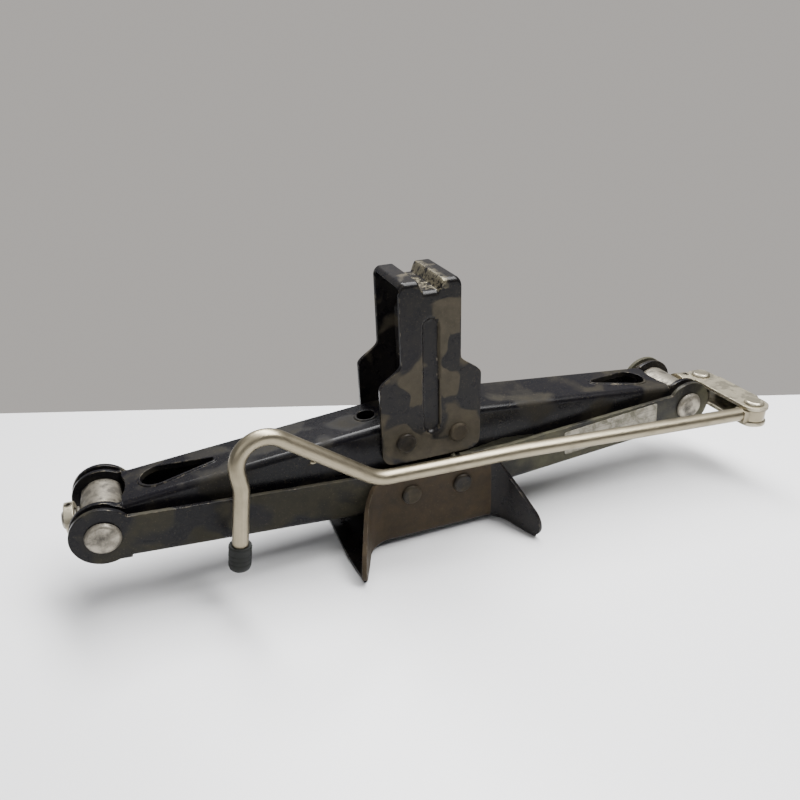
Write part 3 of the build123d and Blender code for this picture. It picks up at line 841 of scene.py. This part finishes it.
@dataclass
class Saddle(PressedSheet):
    """The saddle bracket: two tall plates and a grooved top, folded from one sheet.

    Attributes:
        half_width: half the width over its two plates.
        top: height of its crests.
        bottom: height of its lower edge.
        neck: half the length of its upper part.
        cheek: half the length of its lower part.
        shoulder: heights between which the neck widens into the cheeks.
        corner: radius of the lower corners.
        fold: outer radius of the folds along the top.
        groove: half the cross groove's length at its floor and at its mouth.
        groove_depth: depth of the cross groove.
        bead: lower and upper end of the recess pressed into each plate.
        bead_depth: depth of the recess.
        bead_reach: half the recess's width at its floor, and the width of its slope.
        bands: shares of the sheet's half length at which the top and then the fold end.
        level: height below which the top's shape no longer reaches down the plates.
    """

    half_width: float = 22.0
    top: float = 166.0
    bottom: float = 54.5
    neck: float = 18.6
    cheek: float = 31.9
    shoulder: tuple[float, float] = (105.4, 118.7)
    corner: float = 8.0
    fold: float = 3.2
    groove: tuple[float, float] = (4.2, 7.6)
    groove_depth: float = 6.2
    bead: tuple[float, float] = (77.0, 139.0)
    bead_depth: float = 2.0
    bead_reach: tuple[float, float] = (4.1, 1.5)
    bands: tuple[float, float] = (0.2, 0.28)
    level: float = 146.0

    # Dust on the plates: centre along and up, reach along and up, and how much more or less.
    PATCHES: ClassVar[tuple[tuple[float, float, float, float, float], ...]] = (
        (9.8, 143.9, 9.0, 10.0, 0.5),
        (7.8, 121.0, 3.4, 24.0, 0.5),
        (11.0, 101.8, 8.5, 7.5, 0.5),
        (21.0, 71.0, 10.0, 12.5, 0.5),
        (1.5, 59.4, 20.0, 6.0, 0.5),
        (-19.5, 71.0, 10.5, 12.0, 0.5),
        (-12.3, 106.5, 8.0, 7.0, 0.5),
        (-9.3, 94.6, 4.5, 9.0, 0.4),
        (0.0, 160.5, 24.0, 6.5, -0.6),
        (-13.3, 139.0, 8.0, 22.0, -0.6),
        (16.0, 125.5, 7.0, 6.5, -0.8),
        (11.0, 117.0, 6.0, 6.0, -0.7),
        (26.5, 97.4, 8.5, 14.0, -0.7),
        (-23.0, 98.7, 10.0, 8.0, -0.7),
        (-8.5, 83.0, 7.5, 9.5, -0.7),
    )

    def half_length(self, z: float) -> float:
        """Half the plate's length at a height.

        Args:
            z: height in millimetres.

        Returns:
            Half its length in millimetres.
        """
        low, high = self.shoulder
        share = 1 - smoothstep((z - low) / (high - low))
        length = self.neck + (self.cheek - self.neck) * share
        rise = self.bottom + self.corner - z
        if rise > 0:
            length -= self.corner - math.sqrt(max(0.0, self.corner**2 - rise**2))
        return length

    def crest(self, x: float) -> float:
        """Height of the top surface along the saddle.

        Args:
            x: place along the saddle in millimetres.

        Returns:
            Height in millimetres.
        """
        floor, mouth = self.groove
        depth = self.groove_depth * smoothstep((mouth - abs(x)) / (mouth - floor))
        round_off = 0.22 * max(0.0, abs(x) - (self.neck - 3.5)) ** 2
        return self.top - depth - round_off

    def bead_sink(self, x: float, z: float) -> float:
        """How far the recess sinks the plate at a place.

        Args:
            x: place along the plate.
            z: height.

        Returns:
            Depth in millimetres.
        """
        low, high = self.bead
        away = math.hypot(x, z - min(max(z, low), high))
        return self.bead_depth * (1 - smoothstep((away - self.bead_reach[0]) / self.bead_reach[1]))

    def point(self, u: float, v: float) -> Vector:
        """Place on the outer face, in millimetres, for u and v from -1 to 1."""
        side = -1 if v < 0 else 1
        along = abs(v)
        top_end, fold_end = self.bands
        if along < fold_end:
            x = u * self.neck
            flat = self.half_width - self.fold
            if along < top_end:
                return Vector((x, side * along / top_end * flat, self.crest(x)))
            turn = (along - top_end) / (fold_end - top_end) * math.pi / 2
            out = flat + self.fold * math.sin(turn)
            return Vector((x, side * out, self.crest(x) - self.fold * (1 - math.cos(turn))))
        # Rows crowd towards the lower edge, where the corners are round.
        share = ((1 - along) / (1 - fold_end)) ** 1.25
        under_fold = self.top - self.fold
        z = self.bottom + (under_fold - self.bottom) * share
        x = u * self.half_length(z)
        sag = (self.crest(x) - self.top) * smoothstep((z - self.level) / (under_fold - self.level))
        return Vector((x, side * (self.half_width - self.bead_sink(x, z)), z + sag))

    def dust_and_shade_at(self, spot: Vector) -> float:
        """How readily dust has stuck: caked low down and at the right, wiped at the top left. In
        the recess the floor and -X wall are kept bare black as painted shade, and the +X wall is
        fully dusted as a painted highlight.
        """
        x = spot.x * (-1 if spot.y > 0 else 1)
        dust = 0.5
        for centre, height, reach_x, reach_z, weight in self.PATCHES:
            away = math.hypot((x - centre) / reach_x, (spot.z - height) / reach_z)
            dust += weight * (1 - smoothstep((away - 0.55) / 0.75))
        # Painted shade and highlight in the recess: bare black on its floor and -X wall, full dust
        # on its +X wall where light catches it.
        if self.bead_sink(x, spot.z) > 0.15:
            dust = 0.0 if x < 4.3 else 1.0
        if spot.z > self.top - 7:
            dust = 0.3
        if abs(spot.y) < self.half_width - self.sheet_mm * 0.5 and spot.z < self.top - 3.5:
            dust = 0.3
        return min(1.0, max(0.0, dust))

    def make(self, finish: Finish) -> bpy.types.Object:
        """Build the bracket in place of its CAD node."""
        sheet = self.shell(72, 240)
        return finish_piece(sheet, "saddle_pressing", "saddle", finish, "saddle_bracket")


@dataclass
class Base(PressedSheet):
    """The base bracket: a channel whose four corners flare into horns.

    Attributes:
        half_width: half the width over its plates at the waist.
        top: height of the plates.
        waist: half the waist's length.
        flare: plan radius and angle of the bend into each horn.
        tip: half the width over the horns.
        foot: half the base's length.
        lift: how far the web stands off the ground at the waist.
        fold: outer radius of the fold between web and plates.
        tip_round: rounding of the horns' ends.
        reach: shares of the plate's half length at which the waist and then the bend end.
        bands: shares of the sheet's half width at which the web and then the fold end.
    """

    half_width: float = 28.6
    top: float = 48.0
    waist: float = 35.0
    flare: tuple[float, float] = (13.0, 66.0)
    tip: float = 58.0
    foot: float = 60.0
    lift: float = 3.5
    fold: float = 4.5
    tip_round: float = 4.2
    reach: tuple[float, float] = (0.4, 0.75)
    bands: tuple[float, float] = (0.35, 0.5)

    def plan(self, along: float) -> tuple[Vector, Vector]:
        """Follow the plate's outer face in plan.

        Args:
            along: 0 in the middle of the waist, 1 at the horn's tip.

        Returns:
            The place and the direction of travel, both flat.
        """
        radius, angle = self.flare[0], math.radians(self.flare[1])
        waist_end, bend_end = self.reach
        if along < waist_end:
            share = along / waist_end
            return Vector((self.waist * share, self.half_width, 0)), Vector((1, 0, 0))
        turn = angle * min(1.0, (along - waist_end) / (bend_end - waist_end))
        out = radius * (1 - math.cos(turn))
        here = Vector((self.waist + radius * math.sin(turn), self.half_width + out, 0))
        heading = Vector((math.cos(turn), math.sin(turn), 0))
        if along > bend_end:
            reach = (self.tip - here.y) / math.sin(angle)
            here = here + heading * reach * (along - bend_end) / (1 - bend_end)
        return here, heading

    def ground(self, x: float) -> float:
        """Height of the web's underside along the base."""
        return self.lift * (1 - smoothstep((abs(x) - 32) / 20))

    def rim(self, x: float) -> float:
        """Height of the plates' upper edge along the base.

        Args:
            x: place along the base in millimetres.

        Returns:
            Height in millimetres.
        """
        falling = self.top - (abs(x) - 40.6) * 2.1
        soft = 2.2
        low = min(self.top, falling)
        high = max(self.top, falling)
        return low - soft * math.log1p(math.exp((low - high) / soft))

    def point(self, u: float, v: float) -> Vector:
        """Place on the outer face, in millimetres, for u and v from -1 to 1."""
        across = abs(v)
        # The horn's end is rounded in side view, and the web's corner under it in plan.
        web_end, fold_end = self.bands
        bend_end = self.reach[1]
        rise = max(0.0, (across - fold_end) / (1 - fold_end))
        bulge = math.sqrt(max(0.0, 1 - (2 * rise - 1) ** 2))
        blunt = self.tip_round * (1 - bulge) * smoothstep((across - 0.12) / 0.3)
        wing = 1 - bend_end
        beyond = smoothstep((abs(u) - bend_end) / wing)
        along = abs(u) - wing * blunt / self.wing_length() * beyond
        here, heading = self.plan(along)
        inward = Vector((heading.y, -heading.x, 0))
        fold = self.fold * (1 - 0.5 * smoothstep((along - 0.6) / 0.4))
        start = here + inward * fold
        middle_x = start.x * self.foot / self.tip_x()
        if across < web_end:
            share = across / web_end
            x = middle_x + (start.x - middle_x) * share**3
            flat = Vector((x, start.y * share, self.ground(x)))
        elif across < fold_end:
            turn = (across - web_end) / (fold_end - web_end) * math.pi / 2
            flat = start + (here - start) * math.sin(turn)
            flat.z = self.ground(flat.x) + fold * (1 - math.cos(turn))
        else:
            low = self.ground(here.x) + fold
            flat = here.copy()
            flat.z = low + (self.rim(here.x) - low) * rise
        return Vector((math.copysign(flat.x, u), math.copysign(flat.y, v), flat.z))

    def dust_and_shade_at(self, spot: Vector) -> float:
        """How readily dust has stuck: most on the waist's outside and on the -X horns, falling
        nearly to 0 on the +X horns past their bend. The inside and the bottom 3 mm stay nearly bare
        black, painted shade under the arms and along the fold's underside.
        """
        outside = abs(spot.y) > self.half_width - self.sheet_mm * 0.5
        # Painted shade: the inside, under the arms, and the bottom 3 mm along the fold's underside
        # stay nearly bare black.
        if not outside or spot.z < self.ground(spot.x) + 3.0:
            return 0.1
        return 1.0 - 0.95 * smoothstep((spot.x - 35.5) / 3.0)

    def wing_length(self) -> float:
        """Straight length of a horn beyond its bend."""
        bend, _ = self.plan(self.reach[1])
        end, _ = self.plan(1.0)
        return (end - bend).length

    def tip_x(self) -> float:
        """Where the web meets the fold at the horn's tip."""
        here, heading = self.plan(1.0)
        return here.x + heading.y * self.fold * 0.5

    def make(self, finish: Finish) -> bpy.types.Object:
        """Build the bracket in place of its CAD node."""
        return finish_piece(self.shell(120, 80), "base_pressing", "base", finish, "base_bracket")


@dataclass
class Rivets:
    """A bracket's two cross rivets, headed at both ends, each head slightly dished.

    Attributes:
        node: the CAD node that they stand for.
        pitch: between the two.
        height: of their axes.
        grip: half the width that they clamp.
        shank: radius of the shank.
        head: radius of the heads.
        proud: height of the heads.
    """

    node: str
    height: float
    grip: float
    pitch: float = 34.0
    shank: float = 5.0
    head: float = 6.2
    proud: float = 2.1

    def profile(self) -> list[tuple[float, float]]:
        """Half section from pole to pole.

        Returns:
            (radius, height) points in millimetres.
        """
        top = self.grip + self.proud
        cap = [
            (0.0, top - 0.35),
            (self.head * 0.5, top - 0.3),
            (self.head * 0.72, top - 0.02),
            (self.head * 0.8, top),
            (self.head * 0.93, top - 0.35),
            (self.head, top - 0.95),
            (self.head, self.grip + 0.2),
            (self.head * 0.96, self.grip),
            (self.shank, self.grip),
        ]
        return cap + [(radius, -z) for radius, z in reversed(cap)]

    def make(self, finish: Finish) -> bpy.types.Object:
        """Build both rivets in place of their CAD node."""
        parts = []
        for side in (-1, 1):
            pin = turned(self.profile(), 40)
            place(pin, Vector(Axis.Y.value), Vector((side * self.pitch / 2, 0, self.height)) * MM)
            parts.append(pin)
        whole = joined(parts)
        return finish_piece(whole, self.node + "_headed", body_of(self.node), finish, self.node)


@dataclass
class Screw:
    """The lifting screw: rolled trapezoidal thread, plain shank and flattened eye.

    Attributes:
        height: of its axis.
        start: where it begins.
        thread_end: where the thread runs out into the shank.
        shank_end: where the flattened neck begins.
        radius: over the thread's crests.
        root: radius at the thread's root.
        pitch: of the thread.
    """

    height: float = 52.3
    start: float = -211.0
    thread_end: float = 172.0
    shank_end: float = 211.4
    radius: float = 6.0
    root: float = 4.6
    pitch: float = 3.0

    STEPS_PER_TURN: ClassVar[int] = 20

    def thread(self) -> BMesh:
        """Spin one pitch of the thread's profile along its helix.

        Returns:
            The threaded bar, lying along X.
        """
        bm = bmesh.new()
        tooth = [(0.0, self.root), (0.28, self.root), (0.4, self.radius), (0.82, self.radius),
                 (1.0, self.root)]
        verts = [
            bm.verts.new(((self.start + 1 + x * self.pitch) * MM, 0, r * MM)) for x, r in tooth
        ]
        edges = [bm.edges.new(pair) for pair in zip(verts, verts[1:])]
        turns = math.floor((self.thread_end - self.start) / self.pitch)
        per_turn = self.STEPS_PER_TURN
        bmesh.ops.spin(
            bm, geom=verts + edges, cent=(0, 0, 0), axis=(1, 0, 0),
            dvec=(self.pitch * MM / per_turn, 0, 0), angle=math.tau * turns,
            steps=per_turn * turns, use_merge=False, use_duplicate=False,
        )
        bmesh.ops.remove_doubles(bm, verts=bm.verts, dist=2e-6)
        bmesh.ops.recalc_face_normals(bm, faces=bm.faces)
        bmesh.ops.translate(bm, vec=(0, 0, self.height * MM), verts=bm.verts)
        return bm

    def plain(self, start: float, end: float, radius: float) -> BMesh:
        """Turn a plain chamfered stretch of the bar.

        Args:
            start: where it begins along X.
            end: where it ends.
            radius: of the bar.

        Returns:
            The stretch, lying along X.
        """
        bar = turned(
            [(0.0, start), (radius - 0.9, start), (radius, start + 0.9), (radius, end - 0.4),
             (radius - 0.4, end), (0.0, end)], 40,
        )
        place(bar, Vector(Axis.X.value), Vector((0, 0, self.height * MM)))
        return bar

    def make(self, finish: Finish) -> bpy.types.Object:
        """Build the screw in place of its CAD node."""
        parts = [
            self.thread(),
            self.plain(self.start, self.start + 2.2, self.root + 0.6),
            self.plain(self.thread_end - 1, self.shank_end, self.radius),
            cad_end("lead_screw", self.shank_end - 3, 0.5),
        ]
        return finish_piece(joined(parts), "threaded_screw", "screw", finish, "lead_screw")


@dataclass
class Crank:
    """The crank: a bent round bar with a flattened eye, and a rubber cap on its free end.

    Attributes:
        eye: centre of the eye's hole.
        corners: where the bar's straight runs would meet.
        tip: the bar's free end.
        radii: bend radius at each corner.
        radius: of the bar.
        start: how far from the eye's centre the round bar begins.
        RUN_STEP: spacing of the stations on straight runs, in millimetres.
        ARC_STEP: spacing of the stations round a bend, in degrees.
        BURR_SHARE: how far along the rising run the burr sits, from 0 to 1.
    """

    eye: tuple[float, float, float] = (222.0, -50.0, 52.3)
    corners: tuple[tuple[float, float, float], ...] = (
        (50.0, -41.0, 57.6),
        (-41.5, -40.0, 60.2),
        (-121.5, -41.5, 119.5),
        (-117.2, -45.5, 76.4),
    )
    tip: tuple[float, float, float] = (-124.4, -46.0, 29.0)
    radii: tuple[float, ...] = (60.0, 24.0, 15.5, 10.0)
    radius: float = 4.5
    start: float = 10.0

    RUN_STEP: ClassVar[float] = 6.0
    ARC_STEP: ClassVar[float] = 4.0
    BURR_RADIUS: ClassVar[float] = 1.6
    BURR_SHAPE: ClassVar[tuple[float, float, float]] = (1.2, 0.8, 0.7)
    BURR_OFFSET: ClassVar[tuple[float, float, float]] = (-2.6, -1.2, -3.9)
    BURR_SHARE: ClassVar[float] = 0.42

    def route(self) -> list[Vector]:
        """Follow the bar's axis, with an arc at each corner.

        Returns:
            Points along the axis in millimetres.
        """
        first = Vector(self.corners[0]) - Vector(self.eye)
        points = [Vector(self.eye) + first.normalized() * self.start]
        points += [Vector(corner) for corner in self.corners] + [Vector(self.tip)]
        path = [points[0]]
        for before, corner, after, radius in zip(points, points[1:], points[2:], self.radii):
            back = (before - corner).normalized()
            ahead = (after - corner).normalized()
            half = back.angle(ahead) / 2
            centre = corner + (back + ahead).normalized() * radius / math.sin(half)
            enter = corner + back * radius / math.tan(half)
            leave = corner + ahead * radius / math.tan(half)
            self.run(path, enter)
            sweep = math.pi - 2 * half
            steps = max(4, round(math.degrees(sweep) / self.ARC_STEP))
            arm = enter - centre
            axis = arm.cross(leave - centre).normalized()
            for step in range(1, steps + 1):
                path.append(centre + Matrix.Rotation(sweep * step / steps, 3, axis) @ arm)
        self.run(path, points[-1])
        return path

    @staticmethod
    def run(path: list[Vector], end: Vector) -> None:
        """Add a straight run in steps of about 6 mm.

        Args:
            path: the points so far; the run starts at the last one.
            end: where the run ends.
        """
        start = path[-1]
        steps = max(1, round((end - start).length / Crank.RUN_STEP))
        path.extend(start.lerp(end, step / steps) for step in range(1, steps + 1))

    def bar(self, sides: int = 28) -> BMesh:
        """Draw the round bar along its route, with its length and girth in a UV map.

        Args:
            sides: segments round the bar.

        Returns:
            The bar.
        """
        path = self.route()
        bm = bmesh.new()
        ring = bmesh.ops.create_circle(
            bm, cap_ends=True, segments=sides, radius=(self.radius - 0.5) * MM
        )["verts"]
        heading = (path[1] - path[0]).normalized()
        frame_turn = Vector((0, 0, 1)).rotation_difference(heading)
        stations = [path[0]] + path
        place_now = Matrix.Translation(path[0] * MM) @ frame_turn.to_matrix().to_4x4()
        bmesh.ops.transform(bm, matrix=place_now, verts=ring)
        uv = bm.loops.layers.uv.new("along")
        travelled = {vert: 0.0 for vert in ring}
        girth = {vert: index / sides for index, vert in enumerate(ring)}
        length = 0.0
        for index in range(1, len(stations)):
            here = stations[index]
            onward = path[min(index, len(path) - 1)]
            behind = path[max(0, index - 2)]
            new_heading = (onward - behind).normalized() if onward != behind else heading
            swing = heading.rotation_difference(new_heading)
            frame_turn = swing @ frame_turn
            heading = new_heading
            edges = {e for vert in ring for e in vert.link_edges if e.other_vert(vert) in ring}
            made = bmesh.ops.extrude_edge_only(bm, edges=list(edges))
            fresh = [g for g in made["geom"] if isinstance(g, bmesh.types.BMVert)]
            length += (here - stations[index - 1]).length
            centre = here * MM
            fresh_ring = self.matched(ring, fresh)
            for number, vert in enumerate(fresh_ring):
                angle = math.tau * number / sides
                rim = Vector((math.cos(angle), math.sin(angle), 0)) * self.radius * MM
                vert.co = centre + frame_turn @ rim
                travelled[vert] = length * MM
                girth[vert] = number / sides
            ring = fresh_ring
        bmesh.ops.holes_fill(bm, edges=[e for e in bm.edges if e.is_boundary])
        for face in bm.faces:
            spread = [girth.get(loop.vert, 0.0) for loop in face.loops]
            wraps = max(spread) - min(spread) > 0.5
            for loop, share in zip(face.loops, spread):
                turn = share + 1.0 if wraps and share < 0.5 else share
                loop[uv].uv = (travelled.get(loop.vert, 0.0), turn * math.tau * self.radius * MM)
        bmesh.ops.recalc_face_normals(bm, faces=bm.faces)
        return bm

    @staticmethod
    def matched(ring: list, fresh: list) -> list:
        """Put a freshly extruded ring in the order of the ring that it came from.

        Args:
            ring: the old ring's vertices in order.
            fresh: the new vertices, each joined to one old vertex by an edge.

        Returns:
            The new vertices in order.
        """
        new = set(fresh)
        ordered = []
        for old in ring:
            partner = next(e.other_vert(old) for e in old.link_edges if e.other_vert(old) in new)
            ordered.append(partner)
        return ordered

    def burr(self) -> BMesh:
        """Raise the small burr that the bending tool left under the rising run.

        Returns:
            The burr.
        """
        bm = bmesh.new()
        bmesh.ops.create_uvsphere(bm, u_segments=16, v_segments=10, radius=self.BURR_RADIUS * MM)
        bmesh.ops.scale(bm, vec=self.BURR_SHAPE, verts=bm.verts)
        rise = Vector(self.corners[2]) - Vector(self.corners[1])
        spot = Vector(self.corners[1]) + rise * self.BURR_SHARE + Vector(self.BURR_OFFSET)
        bmesh.ops.translate(bm, vec=spot * MM, verts=bm.verts)
        return bm

    def cap(self) -> BMesh:
        """Turn the rubber cap: rolled rim, three shallow grip rings and a domed end.

        Returns:
            The cap, in place on the bar's free end.
        """
        profile = [
            (0.0, 0.0), (3.0, 0.05), (4.6, 0.5), (5.7, 1.5), (6.15, 3.0), (6.25, 4.4), (6.25, 5.4),
            (6.05, 5.65), (6.05, 6.05), (6.25, 6.3), (6.25, 8.0), (6.05, 8.25), (6.05, 8.65),
            (6.25, 8.9), (6.25, 10.6), (6.05, 10.85), (6.05, 11.25), (6.2, 11.5), (6.15, 13.6),
            (6.3, 14.1), (6.3, 15.2), (6.0, 15.8), (5.4, 16.0), (4.7, 15.9), (4.5, 15.4),
            (4.5, 2.2), (0.0, 2.2),
        ]
        bm = turned(profile, 48)
        run = (Vector(self.tip) - Vector(self.corners[-1])).normalized()
        place(bm, -run, (Vector(self.tip) + run * profile[-1][1]) * MM)
        return bm

    def make(self, plating: Finish, rubber: Finish) -> None:
        """Build the bar, its eye and its cap in place of their CAD nodes.

        Args:
            plating: finish of the bar.
            rubber: finish of the cap.
        """
        eye = cad_end("crank_rod", self.eye[0] - self.start - 1, 0.4)
        bar = joined([self.bar(), eye, self.burr()])
        finish_piece(bar, "bent_crank", "crank", plating, "crank_rod")
        finish_piece(self.cap(), "rubber_cap", "crank", rubber, "grip_cap")


@dataclass
class Label:
    """The rating label: thin film on the lower right arm's front flange.

    Attributes:
        width: across the film, in millimetres.
        slope: how much the arm rises along the film.
    """

    width: float = 17.0
    slope: float = 0.0942

    def make(self, finish: Finish) -> bpy.types.Object:
        """Build the film in place of its CAD node."""
        low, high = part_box("rating_label")
        bm = cad_copy("rating_label")
        uv = bm.loops.layers.uv.new("face")
        span = high - low
        for face in bm.faces:
            for loop in face.loops:
                along = (loop.vert.co.x - low.x) / span.x
                lifted = loop.vert.co.z - low.z - (loop.vert.co.x - low.x) * self.slope
                loop[uv].uv = (along, lifted / (self.width * MM))
        round_edges(bm, 0.1)
        return finish_piece(bm, "rating_film", "lower_right_arm", finish, "rating_label")


@dataclass
class Studio:
    """Pale floor that ends in front of a plain grey wall tone, soft lights and the camera.

    Attributes:
        yaw: the camera's heading from +Y towards +X, in degrees.
        pitch: how far it looks down, in degrees.
        roll: its lean, in degrees.
        lens: its focal length in millimetres on a 36 mm sensor.
        eye: where it stands, in millimetres.
        seam: a point on the line where the pale floor ends, in millimetres.
        seam_turn: the line's turn from the X axis, in degrees.
    """

    yaw: float = 19.49
    pitch: float = 26.52
    roll: float = -1.99
    lens: float = 31.175
    eye: tuple[float, float, float] = (-139.07, -358.63, 275.9)
    seam: tuple[float, float] = (5.5, 169.0)
    seam_turn: float = 20.9

    def camera(self) -> None:
        """Set the camera up."""
        yaw, pitch, roll = (math.radians(a) for a in (self.yaw, self.pitch, self.roll))
        ahead = Vector(
            (math.sin(yaw) * math.cos(pitch), math.cos(yaw) * math.cos(pitch), -math.sin(pitch))
        )
        level = Vector((math.cos(yaw), -math.sin(yaw), 0))
        up = level.cross(ahead)
        right = level * math.cos(roll) + up * math.sin(roll)
        top = up * math.cos(roll) - level * math.sin(roll)
        data = bpy.data.cameras.new("camera")
        data.lens = self.lens
        data.sensor_width = 36.0
        data.clip_start = 0.01
        camera = new_object("camera", data)
        turn = Matrix((right, top, -ahead)).transposed().to_4x4()
        camera.matrix_world = Matrix.Translation(Vector(self.eye) * MM) @ turn
        bpy.context.scene.camera = camera

    def ground(self, name: str, finish: Finish, near: float, far: float) -> None:
        """Lay a board whose edges run along the seam.

        Args:
            name: the board's name.
            finish: its finish.
            near: its near edge, in metres from the seam.
            far: its far edge, in metres from the seam.
        """
        bm = bmesh.new()
        bmesh.ops.create_grid(bm, x_segments=2, y_segments=2, size=0.5)
        bmesh.ops.scale(bm, vec=(9.0, far - near, 1.0), verts=bm.verts)
        bmesh.ops.translate(bm, vec=(0, (far + near) / 2, 0), verts=bm.verts)
        turn = Matrix.Rotation(math.radians(-self.seam_turn), 4, "Z")
        spot = Matrix.Translation(Vector((*self.seam, 0)) * MM)
        bmesh.ops.transform(bm, matrix=spot @ turn, verts=bm.verts)
        mesh = bpy.data.meshes.new(name)
        bm.to_mesh(mesh)
        bm.free()
        mesh.materials.append(finish.build())
        new_object(name, mesh)

    def light(
        self,
        name: str,
        place_m: tuple[float, float, float],
        size: tuple[float, float],
        watts: float,
    ) -> None:
        """Hang a rectangular soft light that faces the jack.

        Args:
            name: the light's name.
            place_m: where it hangs, in metres.
            size: its length and width, in metres.
            watts: its power.
        """
        data = bpy.data.lights.new(name, "AREA")
        data.shape = "RECTANGLE"
        data.size, data.size_y = size
        data.energy = watts
        lamp = new_object(name, data)
        aim = Vector((0, 0, 0.06)) - Vector(place_m)
        lamp.rotation_mode = "QUATERNION"
        lamp.rotation_quaternion = aim.to_track_quat("-Z", "Y")
        lamp.location = place_m

    def make(self) -> None:
        """Build the whole studio."""
        self.camera()
        self.ground("pale_floor", StudioSurface("pale_board", "", "dededf", 0.36), -5.0, 0.0)
        self.light("key_light", (0.3, 0.12, 1.2), (2.0, 0.5), 84.0)
        self.light("fill_light", (-0.9, -0.8, 1.0), (1.1, 1.1), 7.0)
        self.surroundings()

    def surroundings(self) -> None:
        """Fill the background with plain wall grey, lit as a room that is darker in front."""
        world = bpy.data.worlds.new("studio_world")
        world.use_nodes = True
        tree = world.node_tree
        tree.nodes.clear()
        direction = add_node(tree, "TexCoord", out="Generated")
        depth = add_node(tree, "SeparateXYZ", {0: direction}, out="Y")
        glow = add_node(
            tree, "MapRange",
            {"Value": depth, "From Min": -0.3, "From Max": 0.6, "To Min": 0.1, "To Max": 0.5},
        )
        room = add_node(tree, "Background", {"Color": linear("dcdde2"), "Strength": glow})
        wall = add_node(tree, "Background", {"Color": linear("b4b0ac"), "Strength": 1.08})
        seen = add_node(tree, "LightPath", out="Is Camera Ray")
        mixed = add_node(tree, "MixShader", {0: seen, 1: room, 2: wall})
        add_node(tree, "OutputWorld", {"Surface": mixed})
        bpy.context.scene.world = world


# ------------------------------------------------------------------ assembly

SADDLE_PAINT = DustyPaint(
    "saddle_dusty_paint", "black_paint", dust="3b362b", dust_thick="474136", coverage=0.5,
    patch_mm=16, seed=0.31, film=0.08, rub_above_mm=160.0, mapped=True,
)
BASE_PAINT = DustyPaint(
    "base_dusty_paint", "black_paint", dust="32291d", dust_thick="3d3325", coverage=0.6,
    patch_mm=40, seed=1.7, film=0.1, mapped=True,
)
ARM_PAINTS = {
    "upper_left_arm": DustyPaint(
        "upper_left_paint", "black_paint", "191713", "221f18", 0.3, 26, 2.1, 0.06
    ),
    "upper_right_arm": DustyPaint(
        "upper_right_paint", "black_paint", "1c1a15", "27231b", 0.4, 30, 3.4, 0.08
    ),
    "lower_left_arm": DustyPaint(
        "lower_left_paint", "black_paint", "26241b", "333026", 0.5, 20, 4.2, 0.06
    ),
    "lower_right_arm": DustyPaint(
        "lower_right_paint", "black_paint", "34322a", "4b4939", 0.75, 40, 5.8, 0.25
    ),
}
ARM_ROUNDING = 0.4
RIVET_PAINT = DustyPaint(
    "rivet_dusty_paint", "painted_rivet", dust="2f291f", coverage=0.8, patch_mm=18, seed=6.6,
    film=0.4,
)
OILED = MachinedSteel("oiled_bare_steel", "oiled_steel", "8f8a80", "26221b", 0.55, 0.34)
ZINC = MachinedSteel("dull_zinc_plate", "zinc_steel", "b4ad98", "4d4636", 0.35, 0.4)
SPRING = MachinedSteel("tempered_spring_steel", "spring_steel", "4a4846", "26221b", 0.3, 0.35)
PLATING = DrawnPlating("drawn_bar_plating", "plated_rod")
RUBBER = MouldedRubber("moulded_black_rubber", "cap_rubber")
FILM = ScuffedFilm("scuffed_label_film", "label_film")

# The pieces that keep the CAD shape: their finish and how far their rounding reaches, in mm.
TURNED_PARTS = {
    "nut_trunnion": (OILED, 0.5),
    "thrust_trunnion": (OILED, 0.5),
    "nut_spacer_washers": (ZINC, 0.35),
    "thrust_spacer_washers": (ZINC, 0.35),
    "screw_stop": (ZINC, 0.4),
    "stop_roll_pin": (SPRING, 0.15),
    "thrust_washer": (ZINC, 0.3),
    "thrust_collar": (ZINC, 0.4),
    "collar_roll_pin": (SPRING, 0.15),
    "drive_link": (ZINC, 0.4),
    "screw_link_pin": (ZINC, 0.3),
    "crank_link_pin": (ZINC, 0.3),
}


def main() -> None:
    """Build the jack's pieces in order, then the studio round them."""
    logging.basicConfig(level=logging.INFO, format="%(name)s %(message)s")
    Base().make(BASE_PAINT)
    Rivets("base_pivot_rivets", 36.0, 28.6).make(RIVET_PAINT)
    Saddle().make(SADDLE_PAINT)
    Rivets("saddle_pivot_rivets", 68.6, 22.0).make(RIVET_PAINT)
    for node, paint in ARM_PAINTS.items():
        dressed_copy(node, paint, ARM_ROUNDING)
    for node, (finish, width) in TURNED_PARTS.items():
        dressed_copy(node, finish, width)
    Screw().make(OILED)
    Crank().make(PLATING, RUBBER)
    Label().make(FILM)
    Studio().make()


if __name__ == "__main__":
    main()
